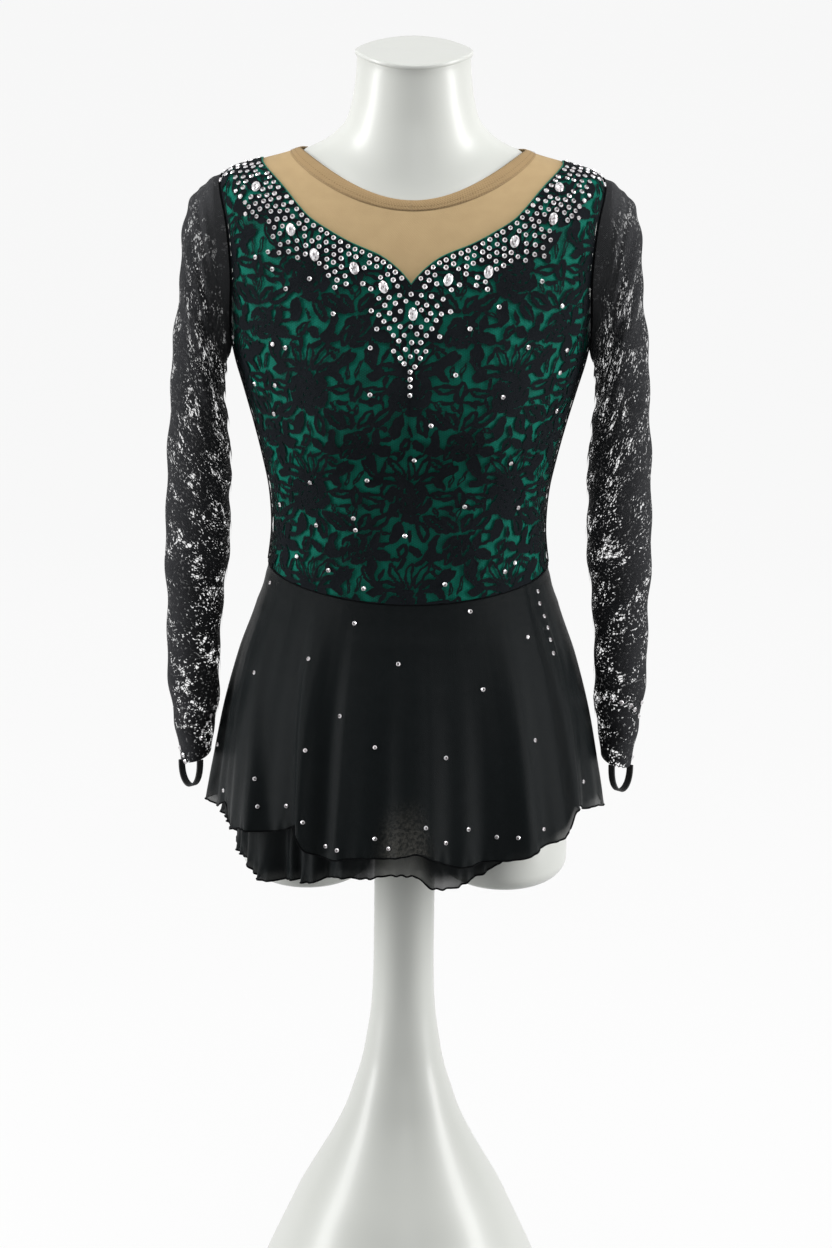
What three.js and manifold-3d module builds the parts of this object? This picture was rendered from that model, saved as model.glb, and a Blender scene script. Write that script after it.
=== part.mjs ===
// Figure skating dress on a limbless dress form, life size, in millimetres.
// +Z is up, the front of the dress looks along -Y, and the origin is the middle
// of the underside of the stand. The dress is cut from stretch lace over a green
// lining, with a nude mesh yoke, lace sleeves and two layers of circular skirt.

import * as THREE from "three";
import Module from "manifold-3d";
import { mergeVertices } from "three/addons/utils/BufferGeometryUtils.js";

const wasm = await Module();
wasm.setup();

// Driving sizes of the cloth
const SEAM_GAP = 0.3;
const LINING_INSIDE = 1.2;
const LINING_THICKNESS = 1.0;
const LACE_INSIDE = 2.8;
const LACE_THICKNESS = 1.0;
const MESH_INSIDE = 1.2;
const MESH_THICKNESS = 1.0;
const BINDING_INSIDE = 0.9;
const BINDING_THICKNESS = 2.0;
const SKIRT_THICKNESS = 1.0;
const LOOP_WIDTH = 4.5;
const LOOP_THICKNESS = 1.2;

// Driving sizes of the form and its stand
const CROTCH_Z = 560;
const STUB_BOTTOM_Z = 481;
const STUB_TOP_Z = 640;
const STUB_CENTRE_X = 88.5;
const STUB_HALF_WIDTH = 59;
const STUB_HALF_DEPTH = 77;
const STUB_BOTTOM_RADIUS = 14;
const COLUMN_RADIUS = 27.6;

const DEGREE = Math.PI / 180;

// Levels of the torso from the hips up to the neck cap. Each level is one closed
// line round the body: side_x and side_z at the side, front and back depth with
// their heights, and square, the exponent of the superellipse in plan.
const TORSO = [
  { side_x: 146, side_z: 560, front: 92, front_z: 560, back: 104, back_z: 560, square: 2.3 },
  { side_x: 147, side_z: 600, front: 94, front_z: 598, back: 110, back_z: 600, square: 2.3 },
  { side_x: 143, side_z: 650, front: 94, front_z: 645, back: 108, back_z: 650, square: 2.3 },
  { side_x: 134, side_z: 700, front: 92, front_z: 690, back: 98, back_z: 698, square: 2.3 },
  { side_x: 126, side_z: 740, front: 90, front_z: 727, back: 88, back_z: 737, square: 2.3 },
  { side_x: 122, side_z: 769, front: 89, front_z: 752, back: 82, back_z: 764, square: 2.3 },
  { side_x: 119, side_z: 800, front: 90, front_z: 784, back: 80, back_z: 798, square: 2.3 },
  { side_x: 121, side_z: 834, front: 93, front_z: 824, back: 83, back_z: 834, square: 2.3 },
  { side_x: 127, side_z: 864, front: 96, front_z: 860, back: 87, back_z: 866, square: 2.3 },
  { side_x: 135, side_z: 896, front: 99, front_z: 896, back: 91, back_z: 900, square: 2.35 },
  { side_x: 144, side_z: 928, front: 100, front_z: 930, back: 93, back_z: 936, square: 2.4 },
  { side_x: 153, side_z: 960, front: 100, front_z: 964, back: 94, back_z: 972, square: 2.45 },
  { side_x: 159, side_z: 1000, front: 97, front_z: 1000, back: 93, back_z: 1010, square: 2.5 },
  { side_x: 162, side_z: 1040, front: 91, front_z: 1034, back: 88, back_z: 1048, square: 2.5 },
  { side_x: 164.5, side_z: 1078, front: 85, front_z: 1056, back: 82, back_z: 1080, square: 2.45 },
  { side_x: 166, side_z: 1103, front: 80, front_z: 1070, back: 76, back_z: 1100, square: 2.35 },
  { side_x: 160, side_z: 1115.5, front: 76.5, front_z: 1079, back: 71, back_z: 1109, square: 2.25 },
  { side_x: 138, side_z: 1124, front: 73.5, front_z: 1086, back: 66, back_z: 1114, square: 2.15 },
  { side_x: 112, side_z: 1131.5, front: 71, front_z: 1092, back: 61, back_z: 1118, square: 2.1 },
  { side_x: 93, side_z: 1138, front: 67.5, front_z: 1099, back: 57, back_z: 1122.5, square: 2.05 },
  { side_x: 77, side_z: 1145.5, front: 63, front_z: 1108, back: 54, back_z: 1131, square: 2 },
  { side_x: 66, side_z: 1154, front: 59, front_z: 1120, back: 51, back_z: 1144, square: 2 },
  { side_x: 58, side_z: 1164, front: 55, front_z: 1140, back: 48, back_z: 1166, square: 2 },
  { side_x: 53, side_z: 1182, front: 51, front_z: 1166, back: 46, back_z: 1184, square: 2 },
  { side_x: 50.5, side_z: 1200, front: 50, front_z: 1189, back: 46, back_z: 1204, square: 2 },
  { side_x: 49.5, side_z: 1214, front: 50, front_z: 1206, back: 48, back_z: 1220, square: 2 },
  { side_x: 50.5, side_z: 1222, front: 52, front_z: 1215, back: 50, back_z: 1229, square: 2 },
];

// Cup shape that the darts give the front
const CUP = { x: 62, z: 915, above: 78, below: 44, side: 50, rise: 17, middle_dip: 0.35 };

// Levels of the torso table where seams and edges run
const LEVEL = {
  waist: 5,
  armpit: 11.1,
  shoulder_out: 15.7,
  strap_edge: 17.3,
  binding_low: 18.25,
  binding_top: 18.75,
  back_neck: 16.2,
};
const ARMHOLE_FRONT_ANGLE = 66;
const ARMHOLE_BACK_ANGLE = 117;

// Sweetheart edge of the lace at the front, seen from the front, right half
const SWEETHEART = [
  { x: 0.01, z: 1034 },
  { x: 12, z: 1047 },
  { x: 26, z: 1057 },
  { x: 53, z: 1068 },
  { x: 78, z: 1081 },
  { x: 98, z: 1096 },
  { x: 113, z: 1111 },
];

// Sleeve sections from the armhole to the cuff: outer and inner points seen from
// the front, half depth, and the middle of the section along Y.
const SLEEVE = [
  { outer_x: 173.5, outer_z: 1112, inner_x: 159, inner_z: 956, half_depth: 44, middle_y: 0 },
  { outer_x: 182.5, outer_z: 1105, inner_x: 161, inner_z: 952, half_depth: 48, middle_y: 0 },
  { outer_x: 191.5, outer_z: 1095, inner_x: 163, inner_z: 946, half_depth: 50, middle_y: -1 },
  { outer_x: 199.5, outer_z: 1072, inner_x: 164, inner_z: 936, half_depth: 50, middle_y: -2 },
  { outer_x: 203, outer_z: 1030, inner_x: 163, inner_z: 915, half_depth: 49, middle_y: -3 },
  { outer_x: 207, outer_z: 985, inner_x: 161, inner_z: 888, half_depth: 48, middle_y: -4 },
  { outer_x: 211, outer_z: 935, inner_x: 159, inner_z: 858, half_depth: 46, middle_y: -4 },
  { outer_x: 214.5, outer_z: 880, inner_x: 158.5, inner_z: 826, half_depth: 44, middle_y: -4 },
  { outer_x: 216, outer_z: 822, inner_x: 160, inner_z: 788, half_depth: 42, middle_y: -3 },
  { outer_x: 217, outer_z: 765, inner_x: 164, inner_z: 745, half_depth: 39, middle_y: -1 },
  { outer_x: 217, outer_z: 710, inner_x: 168, inner_z: 700, half_depth: 36, middle_y: 2 },
  { outer_x: 215, outer_z: 655, inner_x: 170, inner_z: 655, half_depth: 33, middle_y: 5 },
  { outer_x: 210, outer_z: 612, inner_x: 173, inner_z: 616, half_depth: 31, middle_y: 8 },
  { outer_x: 205, outer_z: 580, inner_x: 177.5, inner_z: 587, half_depth: 29, middle_y: 10 },
];
const SLEEVE_ROWS = 28;
const SLEEVE_SIDES = 14;
const SLEEVE_THICKNESS = 1.0;
const SLEEVE_SQUARE = 2.1;

// Skirt: the smooth shape under the folds, from the waist seam to the hem
const SKIRT = [
  { down: 0, side: 125.0, front: 92.0, back: 85.0 },
  { down: 0.05, side: 127.5, front: 95, back: 88 },
  { down: 0.16, side: 135, front: 103, back: 98 },
  { down: 0.36, side: 149, front: 117, back: 116 },
  { down: 0.58, side: 160, front: 131, back: 132 },
  { down: 0.8, side: 167, front: 143, back: 144 },
  { down: 1, side: 172, front: 151, back: 152 },
];

// Folds of the skirt: angle from the front towards +X at the hem, how far the
// ridge stands out there, its half width in degrees before and after the crest,
// where down the skirt it starts, and how far its crest leans towards the waist.
const FOLDS = [
  { angle: -92, stands: 12, before: 9, after: 9, starts: 0.1, lean: 0 },
  { angle: -49, stands: 15, before: 12, after: 4, starts: 0.02, lean: -13 },
  { angle: -30, stands: 15, before: 2.4, after: 7, starts: 0.02, lean: -7 },
  { angle: -19.5, stands: 9, before: 3, after: 10, starts: 0.05, lean: 0 },
  { angle: 2, stands: 11, before: 14, after: 13, starts: 0.04, lean: 0 },
  { angle: 37, stands: 15, before: 6, after: 8, starts: 0.02, lean: 0 },
  { angle: 56, stands: 15, before: 9, after: 2.8, starts: 0.04, lean: 5 },
  { angle: 88, stands: 12, before: 9, after: 9, starts: 0.1, lean: 0 },
  { angle: 112, stands: 11, before: 8, after: 8, starts: 0.1, lean: 0 },
  { angle: 133, stands: 14, before: 9, after: 5, starts: 0.02, lean: 3 },
  { angle: 157, stands: 12, before: 8, after: 8, starts: 0.12, lean: 0 },
  { angle: 180, stands: 14, before: 4, after: 10, starts: 0.03, lean: -4 },
  { angle: 205, stands: 14, before: 9, after: 7, starts: 0.08, lean: 0 },
  { angle: 227, stands: 12, before: 8, after: 8, starts: 0.04, lean: 0 },
  { angle: 247, stands: 13, before: 5, after: 8, starts: 0.12, lean: -3 },
];
// How far the smooth line between the ridges draws in at the hem, and the power
// by which a ridge grows from its start to the hem
const FOLD_DRAW_IN = 3;
const FOLD_GROWTH = 1.1;

// Height of the two hems round the body
const UPPER_HEM = [
  { angle: -180, z: 546 },
  { angle: -120, z: 545 },
  { angle: -92, z: 542 },
  { angle: -80, z: 547 },
  { angle: -71, z: 554 },
  { angle: -67, z: 541 },
  { angle: -57, z: 544 },
  { angle: -48, z: 549 },
  { angle: -38, z: 554 },
  { angle: -32, z: 558 },
  { angle: -28, z: 543 },
  { angle: -20, z: 537 },
  { angle: -7, z: 541 },
  { angle: 3, z: 544 },
  { angle: 7, z: 539 },
  { angle: 19, z: 530 },
  { angle: 28, z: 532 },
  { angle: 36, z: 537 },
  { angle: 45, z: 541 },
  { angle: 52, z: 548 },
  { angle: 55, z: 566 },
  { angle: 64, z: 562 },
  { angle: 74, z: 553 },
  { angle: 86, z: 546 },
  { angle: 100, z: 547 },
  { angle: 120, z: 548 },
  { angle: 180, z: 546 },
];
const UNDER_HEM = [
  { angle: -180, z: 548 },
  { angle: -120, z: 545 },
  { angle: -92, z: 534 },
  { angle: -78, z: 528 },
  { angle: -70, z: 517 },
  { angle: -60, z: 513 },
  { angle: -53, z: 506 },
  { angle: -42, z: 502 },
  { angle: -26, z: 513 },
  { angle: -16, z: 517 },
  { angle: -7, z: 520 },
  { angle: 4, z: 520 },
  { angle: 8, z: 511 },
  { angle: 16, z: 507 },
  { angle: 21, z: 512 },
  { angle: 29, z: 526 },
  { angle: 37, z: 542 },
  { angle: 60, z: 553 },
  { angle: 120, z: 552 },
  { angle: 180, z: 548 },
];
const SKIRT_SIDES = 66;
const SKIRT_ROWS = 5;
const LAYER_GAP_TOP = 1.5;
const LAYER_GAP_HEM = 12;

// Profile of the stand from the floor to the crotch of the form
const STAND = [
  { radius: 153, z: 0 },
  { radius: 153, z: 8 },
  { radius: 147, z: 30 },
  { radius: 139, z: 57 },
  { radius: 131, z: 82 },
  { radius: 123, z: 102 },
  { radius: 106, z: 140 },
  { radius: 94, z: 166 },
  { radius: 80, z: 191 },
  { radius: 66, z: 216 },
  { radius: 54, z: 241 },
  { radius: 45.5, z: 266 },
  { radius: 38, z: 291 },
  { radius: 33.5, z: 316 },
  { radius: 29.5, z: 345 },
  { radius: 27.9, z: 380 },
  { radius: COLUMN_RADIUS, z: 420 },
];
const STAND_SIDES = 26;

// One repeat of the lace, drawn by hand: o is a gap in the net between the
// flowers and leaves, - is cloth. Gaps never meet at a corner alone.
const LACE_REPEAT = [
  "-oo--o--",
  "-----o--",
  "--o----o",
  "o-o----o",
  "----oo--",
  "-o--o---",
  "-o----oo",
  "---o----",
  "o--oo--o",
  "-------o",
];

function mixTable(rows, position, keys) {
  // Smooth values between the rows of a table, by a Catmull-Rom curve
  const last = rows.length - 1;
  const index = Math.min(Math.max(Math.floor(position), 0), last - 1);
  const part = position - index;
  const row = (number) => rows[Math.min(Math.max(number, 0), last)];
  const values = {};
  for (const key of keys) {
    const a = row(index - 1)[key];
    const b = row(index)[key];
    const c = row(index + 1)[key];
    const d = row(index + 2)[key];
    const cubic = 2 * b + (c - a) * part
      + (2 * a - 5 * b + 4 * c - d) * part ** 2
      + (3 * b - a - 3 * c + d) * part ** 3;
    values[key] = cubic / 2;
  }
  return values;
}

function alongTable(rows, key, wanted, valueKey) {
  // Value at a place given by another column that rises down the table
  let index = 0;
  while (index < rows.length - 2 && rows[index + 1][key] < wanted) {
    index += 1;
  }
  const span = rows[index + 1][key] - rows[index][key];
  return mixTable(rows, index + (wanted - rows[index][key]) / span, [valueKey])[valueKey];
}

const TORSO_KEYS = ["side_x", "side_z", "front", "front_z", "back", "back_z", "square"];

function torsoBase(angle, level) {
  // Point of the body under the cloth, at an angle in degrees from the front
  const row = mixTable(TORSO, level, TORSO_KEYS);
  const sine = Math.sin(angle * DEGREE);
  const cosine = Math.cos(angle * DEGREE);
  const faces_front = cosine > 0;
  const reach = (Math.abs(sine) ** row.square + Math.abs(cosine) ** row.square) ** (-1 / row.square);
  const x = row.side_x * reach * sine;
  let y = -(faces_front ? row.front : row.back) * reach * cosine;
  const end_z = faces_front ? row.front_z : row.back_z;
  const z = row.side_z + (end_z - row.side_z) * cosine ** 2;
  if (faces_front) {
    const off = Math.abs(x) - CUP.x;
    const across = off < 0 ? 1 - CUP.middle_dip * (off / CUP.x) ** 2 : Math.exp(-((off / CUP.side) ** 2));
    const high = z - CUP.z;
    const along = Math.exp(-((high / (high > 0 ? CUP.above : CUP.below)) ** 2));
    y -= CUP.rise * across * along * Math.min(1, cosine * 2);
  }
  return new THREE.Vector3(x, y, z);
}

function torsoPoint(angle, level, outside) {
  // The same point moved out of the body along its normal
  const step = 0.02;
  const around = torsoBase(angle + 1, level).sub(torsoBase(angle - 1, level));
  const up = torsoBase(angle, level + step).sub(torsoBase(angle, level - step));
  const normal = around.cross(up).normalize();
  return torsoBase(angle, level).addScaledVector(normal, outside);
}

function angleAndLevel(x, z) {
  // Place on the front of the torso that is seen at x and z from the front
  let best = { angle: 45, level: 14 };
  let reach = { angle: 45, level: 5 };
  for (let pass = 0; pass < 14; pass += 1) {
    let nearest = Infinity;
    const middle = best;
    for (let a = -4; a <= 4; a += 1) {
      for (let l = -4; l <= 4; l += 1) {
        const angle = Math.min(90, Math.max(0, middle.angle + a * reach.angle / 4));
        const level = middle.level + l * reach.level / 4;
        const point = torsoBase(angle, level);
        const distance = Math.hypot(point.x - x, point.z - z);
        if (distance < nearest) {
          nearest = distance;
          best = { angle, level };
        }
      }
    }
    reach = { angle: reach.angle * 0.55, level: reach.level * 0.55 };
  }
  return best;
}

function curveThrough(places) {
  // Smooth line through places on the torso, evenly spaced from end to end
  const points = places.map((place) => new THREE.Vector3(place.angle, place.level * 10, 0));
  const curve = new THREE.CatmullRomCurve3(points, false, "centripetal");
  return (part) => {
    const point = curve.getPoint(Math.min(1, Math.max(0, part)));
    return { angle: point.x, level: point.y / 10 };
  };
}

function geometryOf(positions, triangles) {
  const geometry = new THREE.BufferGeometry();
  geometry.setAttribute("position", new THREE.Float32BufferAttribute(positions.flat(), 3));
  geometry.setIndex(triangles.flat());
  return geometry;
}

function clothWall(patches) {
  // Closed wall between an outer and an inner grid of points. A patch holds its
  // two grids, row by row from the bottom, and skips the cells that are gaps.
  const outer_points = [];
  const inner_points = [];
  const numbers = new Map();
  const vertex = (outer, inner) => {
    const key = outer.toArray().map((value) => Math.round(value * 1000)).join(" ");
    if (!numbers.has(key)) {
      numbers.set(key, outer_points.length);
      outer_points.push(outer.toArray());
      inner_points.push(inner.toArray());
    }
    return numbers.get(key);
  };
  const cells = [];
  for (const patch of patches) {
    for (let row = 0; row < patch.outer.length - 1; row += 1) {
      for (let column = 0; column < patch.outer[0].length - 1; column += 1) {
        if (patch.isGap && patch.isGap(row, column)) {
          continue;
        }
        const corner = (r, c) => vertex(patch.outer[r][c], patch.inner[r][c]);
        const cell = [
          corner(row, column), corner(row, column + 1),
          corner(row + 1, column + 1), corner(row + 1, column),
        ];
        // A turned patch splits its cells along their other diagonal
        cells.push(patch.turned ? [cell[1], cell[2], cell[3], cell[0]] : cell);
      }
    }
  }
  const count = outer_points.length;
  const triangles = [];
  const edges = new Set();
  for (const [a, b, c, d] of cells) {
    triangles.push([a, b, c], [a, c, d]);
    triangles.push([count + a, count + c, count + b], [count + a, count + d, count + c]);
    for (const [from, to] of [[a, b], [b, c], [c, d], [d, a]]) {
      edges.add(`${from} ${to}`);
    }
  }
  for (const edge of edges) {
    const [from, to] = edge.split(" ").map(Number);
    if (!edges.has(`${to} ${from}`)) {
      triangles.push([to, from, count + from], [to, count + from, count + to]);
    }
  }
  return geometryOf([...outer_points, ...inner_points], triangles);
}

function torsoPatch(rows, columns, place, inside, thickness) {
  // Grids of a panel that lies on the torso; place gives angle and level
  const grid = (outside) => {
    const lines = [];
    for (let row = 0; row <= rows; row += 1) {
      const line = [];
      for (let column = 0; column <= columns; column += 1) {
        const { angle, level } = place(row / rows, column / columns);
        line.push(torsoPoint(angle, level, outside));
      }
      lines.push(line);
    }
    return lines;
  };
  return { outer: grid(inside + thickness), inner: grid(inside) };
}

function mirrored(patch) {
  // The same panel on the other side of the body
  const flip = (grid) => grid.map((line) => line
    .map((point) => new THREE.Vector3(-point.x, point.y, point.z)).reverse());
  const columns = patch.outer[0].length - 1;
  const isGap = patch.isGap && ((row, column) => patch.isGap(row, columns - 1 - column));
  return { outer: flip(patch.outer), inner: flip(patch.inner), isGap, turned: !patch.turned };
}

function insideOf(grid, thickness, closed) {
  // Inner face of a wall whose outer face is a grid of points
  const rows = grid.length;
  const columns = grid[0].length;
  const wrap = closed ? columns - 1 : columns;
  return grid.map((line, row) => line.map((point, column) => {
    const left = closed ? (column - 1 + wrap) % wrap : Math.max(column - 1, 0);
    const right = closed ? (column + 1) % wrap : Math.min(column + 1, columns - 1);
    const across = grid[row][right].clone().sub(grid[row][left]);
    const up = grid[Math.min(row + 1, rows - 1)][column].clone()
      .sub(grid[Math.max(row - 1, 0)][column]);
    const normal = across.cross(up).normalize();
    return point.clone().addScaledVector(normal, -thickness);
  }));
}

// Panels of the bodice
const PANEL_ROWS = 18;
const PANEL_COLUMNS = 8;
const FRONT_NECK_ROWS = 8;
const BACK_NECK_ROWS = 5;
const ARMPIT_SHARE = 0.5;

const sweetheartPlaces = SWEETHEART.map((row) => angleAndLevel(row.x, row.z));
const SIDE_SEAM_ANGLE = 90 - 0.1;
const BACK_SEAM_ANGLE = 90 + 0.1;
const sweetheart = curveThrough([
  { angle: 0, level: sweetheartPlaces[0].level },
  ...sweetheartPlaces.slice(1),
  { angle: SIDE_SEAM_ANGLE, level: LEVEL.strap_edge },
]);
const frontArmhole = curveThrough([
  { angle: SIDE_SEAM_ANGLE, level: LEVEL.armpit },
  { angle: 76, level: LEVEL.armpit + 0.35 },
  { angle: ARMHOLE_FRONT_ANGLE, level: LEVEL.armpit + 1.6 },
  { angle: ARMHOLE_FRONT_ANGLE + 5, level: LEVEL.shoulder_out - 1.1 },
  { angle: SIDE_SEAM_ANGLE, level: LEVEL.shoulder_out },
]);
const backArmhole = curveThrough([
  { angle: BACK_SEAM_ANGLE, level: LEVEL.armpit },
  { angle: 104, level: LEVEL.armpit + 0.35 },
  { angle: ARMHOLE_BACK_ANGLE, level: LEVEL.armpit + 1.7 },
  { angle: ARMHOLE_BACK_ANGLE - 6, level: LEVEL.shoulder_out - 1.1 },
  { angle: BACK_SEAM_ANGLE, level: LEVEL.shoulder_out },
]);
const backNeck = curveThrough([
  { angle: 180, level: LEVEL.back_neck },
  { angle: 150, level: LEVEL.back_neck + 0.15 },
  { angle: 120, level: LEVEL.back_neck + 0.55 },
  { angle: BACK_SEAM_ANGLE, level: LEVEL.strap_edge },
]);

function bodicePlace(middleAngle, sideAngle, neckEdge, neckRows, armhole) {
  // Rows run from the middle line or neck edge to the side seam or armhole
  const neck_start = neckEdge(0).level;
  const neck_share = 1 - neckRows / PANEL_ROWS;
  return (up, across) => {
    const edge = up < neck_share
      ? { angle: middleAngle, level: LEVEL.waist + (neck_start - LEVEL.waist) * up / neck_share }
      : neckEdge((up - neck_share) / (1 - neck_share));
    const side = up < ARMPIT_SHARE
      ? { angle: sideAngle, level: LEVEL.waist + (LEVEL.armpit - LEVEL.waist) * up / ARMPIT_SHARE }
      : armhole((up - ARMPIT_SHARE) / (1 - ARMPIT_SHARE));
    return {
      angle: edge.angle + (side.angle - edge.angle) * across,
      level: edge.level + (side.level - edge.level) * across,
    };
  };
}

const frontPlace = bodicePlace(0, SIDE_SEAM_ANGLE, sweetheart, FRONT_NECK_ROWS, frontArmhole);
const backPlace = bodicePlace(180, BACK_SEAM_ANGLE, backNeck, BACK_NECK_ROWS, backArmhole);
// The back panel runs from the side seam to the middle, so its faces look out
const backPlaceOutwards = (up, across) => backPlace(up, 1 - across);

const laceIsGap = (rows, columns, startRow, startColumn) => (row, column) => {
  const near_edge = row < 1 || column < 1 || row > rows - 2 || column > columns - 2;
  const line = LACE_REPEAT[(row + startRow) % LACE_REPEAT.length];
  return !near_edge && line[(column + startColumn) % line.length] === "o";
};

function bodicePanel(place, gapStartRow, gapStartColumn, turned) {
  const lining = torsoPatch(PANEL_ROWS, PANEL_COLUMNS, place, LINING_INSIDE, LINING_THICKNESS);
  const lace = torsoPatch(PANEL_ROWS, PANEL_COLUMNS, place, LACE_INSIDE, LACE_THICKNESS);
  // The narrow cells near the shoulder stay whole
  const whole_from = Math.round(PANEL_ROWS * 0.85);
  const isGap = laceIsGap(whole_from, PANEL_COLUMNS, gapStartRow, gapStartColumn);
  lace.isGap = (row, column) => row < whole_from && isGap(row, column);
  lining.turned = turned;
  lace.turned = turned;
  return { lining, lace };
}

const frontHalf = bodicePanel(frontPlace, 0, 0, false);
const backHalf = bodicePanel(backPlaceOutwards, 3, 2, true);

// Yoke between the sweetheart edge and the binding, front and back
const YOKE_ROWS = 4;
const YOKE_SEAM_LEVELS = 0.04;

function yokePlace(edge) {
  // Rows rise from the lace edge to the binding
  return (up, across) => {
    const low = edge(across);
    const low_level = low.level + YOKE_SEAM_LEVELS;
    const high_level = LEVEL.binding_low - YOKE_SEAM_LEVELS;
    return { angle: low.angle, level: low_level + (high_level - low_level) * up };
  };
}
const backYokeEdge = (across) => backNeck(1 - across);
const yokePatch = (edge, columns) => torsoPatch(
  YOKE_ROWS, columns, yokePlace(edge), MESH_INSIDE, MESH_THICKNESS);
const frontYoke = yokePatch(sweetheart, FRONT_NECK_ROWS);
const backYoke = yokePatch(backYokeEdge, BACK_NECK_ROWS);

// Binding folded over the neck edge, all the way round
function bindingPatch(edge, columns) {
  // The ring has no seam at the side, so its halves meet at a right angle there
  const place = (up, across) => {
    const angle = edge(across).angle;
    return {
      angle: Math.abs(angle - 90) < 1 ? 90 : angle,
      level: LEVEL.binding_low + (LEVEL.binding_top - LEVEL.binding_low) * up,
    };
  };
  return torsoPatch(1, columns, place, BINDING_INSIDE, BINDING_THICKNESS);
}

// Sleeve as rings from the armhole down to the cuff, for the +X side
function armholePoint(turn) {
  // turn runs once round the armhole, from the top over the front to the armpit
  const front = turn <= 0.5;
  const edge = front ? frontArmhole(1 - turn * 2) : backArmhole(turn * 2 - 1);
  return torsoPoint(edge.angle, edge.level, LACE_INSIDE + LACE_THICKNESS);
}

const SLEEVE_KEYS = ["outer_x", "outer_z", "inner_x", "inner_z", "half_depth", "middle_y"];
const SLEEVE_START = 1.2;

function sleevePoint(turn, down) {
  const cosine = Math.cos(turn * 2 * Math.PI);
  const sine = Math.sin(turn * 2 * Math.PI);
  const reach = (Math.abs(sine) ** SLEEVE_SQUARE + Math.abs(cosine) ** SLEEVE_SQUARE)
    ** (-1 / SLEEVE_SQUARE);
  const row = mixTable(SLEEVE, down * (SLEEVE.length - 1), SLEEVE_KEYS);
  const along = (1 + cosine * reach) / 2;
  return new THREE.Vector3(
    row.inner_x + (row.outer_x - row.inner_x) * along,
    row.middle_y - row.half_depth * sine * reach,
    row.inner_z + (row.outer_z - row.inner_z) * along,
  );
}

function sleeveGrid(side) {
  // Rows run from the cuff up to the armhole, columns once round the arm
  const grid = [];
  for (let row = SLEEVE_ROWS; row >= 0; row -= 1) {
    const line = [];
    for (let column = 0; column <= SLEEVE_SIDES; column += 1) {
      const turn = (column % SLEEVE_SIDES) / SLEEVE_SIDES;
      let point;
      if (row === 0) {
        const edge = armholePoint(turn);
        const next = sleevePoint(turn, 0);
        point = edge.clone().addScaledVector(next.sub(edge).normalize(), SLEEVE_START);
      } else {
        point = sleevePoint(turn, (row - 1) / (SLEEVE_ROWS - 1));
      }
      point.x *= side;
      line.push(point);
    }
    grid.push(line);
  }
  // Turned so that the faces look out of the tube on both arms
  return side > 0 ? grid.map((line) => line.reverse()) : grid;
}

function sleeveHalf(side, half, gapStart) {
  // Front or back half of the tube, its long edges drawn in by half a seam gap
  const whole = sleeveGrid(side);
  const columns = SLEEVE_SIDES / 2;
  const starts_first = (half === "front") === (side < 0);
  const first = starts_first ? 0 : columns;
  const cut = (grid) => grid.map((line) => {
    const part = line.slice(first, first + columns + 1).map((point) => point.clone());
    const drawIn = (edge, next) => {
      const inward = part[next].clone().sub(part[edge]);
      part[edge].addScaledVector(inward.normalize(), SEAM_GAP / 2);
    };
    drawIn(0, 1);
    drawIn(columns, columns - 1);
    return part;
  });
  const isGap = laceIsGap(SLEEVE_ROWS, columns, gapStart, gapStart + 1);
  return { outer: cut(whole), inner: cut(insideOf(whole, SLEEVE_THICKNESS, true)), isGap };
}

// Finger loop under the cuff, a flat elastic bent to a U between two places on
// the cuff's edge, given as turns round it from the outer side over the front
const FINGER_LOOP = { from_turn: 0.03, to_turn: 0.32, drop: 25, below_cuff: 0.9, roundness: 0.8 };
const LOOP_STEPS = 14;

function fingerLoop(side) {
  const first = sleevePoint(FINGER_LOOP.from_turn, 1);
  const second = sleevePoint(FINGER_LOOP.to_turn, 1);
  const middle = first.clone().add(second).multiplyScalar(0.5);
  const half = first.clone().sub(second).setZ(0).multiplyScalar(0.5);
  const radius = half.length() - SLEEVE_THICKNESS / 2;
  const along = half.clone().normalize();
  const across = new THREE.Vector3(0, 0, 1).cross(along).multiplyScalar(LOOP_WIDTH / 2);
  const outer = [];
  const inner = [];
  for (let step = 0; step <= LOOP_STEPS; step += 1) {
    const angle = step / LOOP_STEPS * Math.PI;
    const rim_z = first.z + (second.z - first.z) * step / LOOP_STEPS - FINGER_LOOP.below_cuff;
    const edgePair = (shrink) => {
      const point = middle.clone().addScaledVector(along, (radius - shrink) * Math.cos(angle));
      point.z = rim_z - (FINGER_LOOP.drop - shrink) * Math.sin(angle) ** FINGER_LOOP.roundness;
      const pair = [point.clone().sub(across), point.clone().add(across)];
      for (const end of pair) {
        end.x *= side;
      }
      return side > 0 ? pair : pair.reverse();
    };
    outer.push(edgePair(0));
    inner.push(edgePair(LOOP_THICKNESS));
  }
  return { outer: outer.reverse(), inner: inner.reverse() };
}

// Skirt layers
function foldHeight(angle, down) {
  // Sum of the soft ridges, which grow from their start to the hem
  let height = -FOLD_DRAW_IN * down;
  for (const fold of FOLDS) {
    const crest = fold.angle + fold.lean * (1 - down);
    const away = ((angle - crest + 540) % 360) - 180;
    const half_width = away < 0 ? fold.before : fold.after;
    const grown = Math.max(0, (down - fold.starts) / (1 - fold.starts)) ** FOLD_GROWTH;
    height += fold.stands * grown * Math.exp(-((away / half_width) ** 2));
  }
  return height;
}

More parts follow.
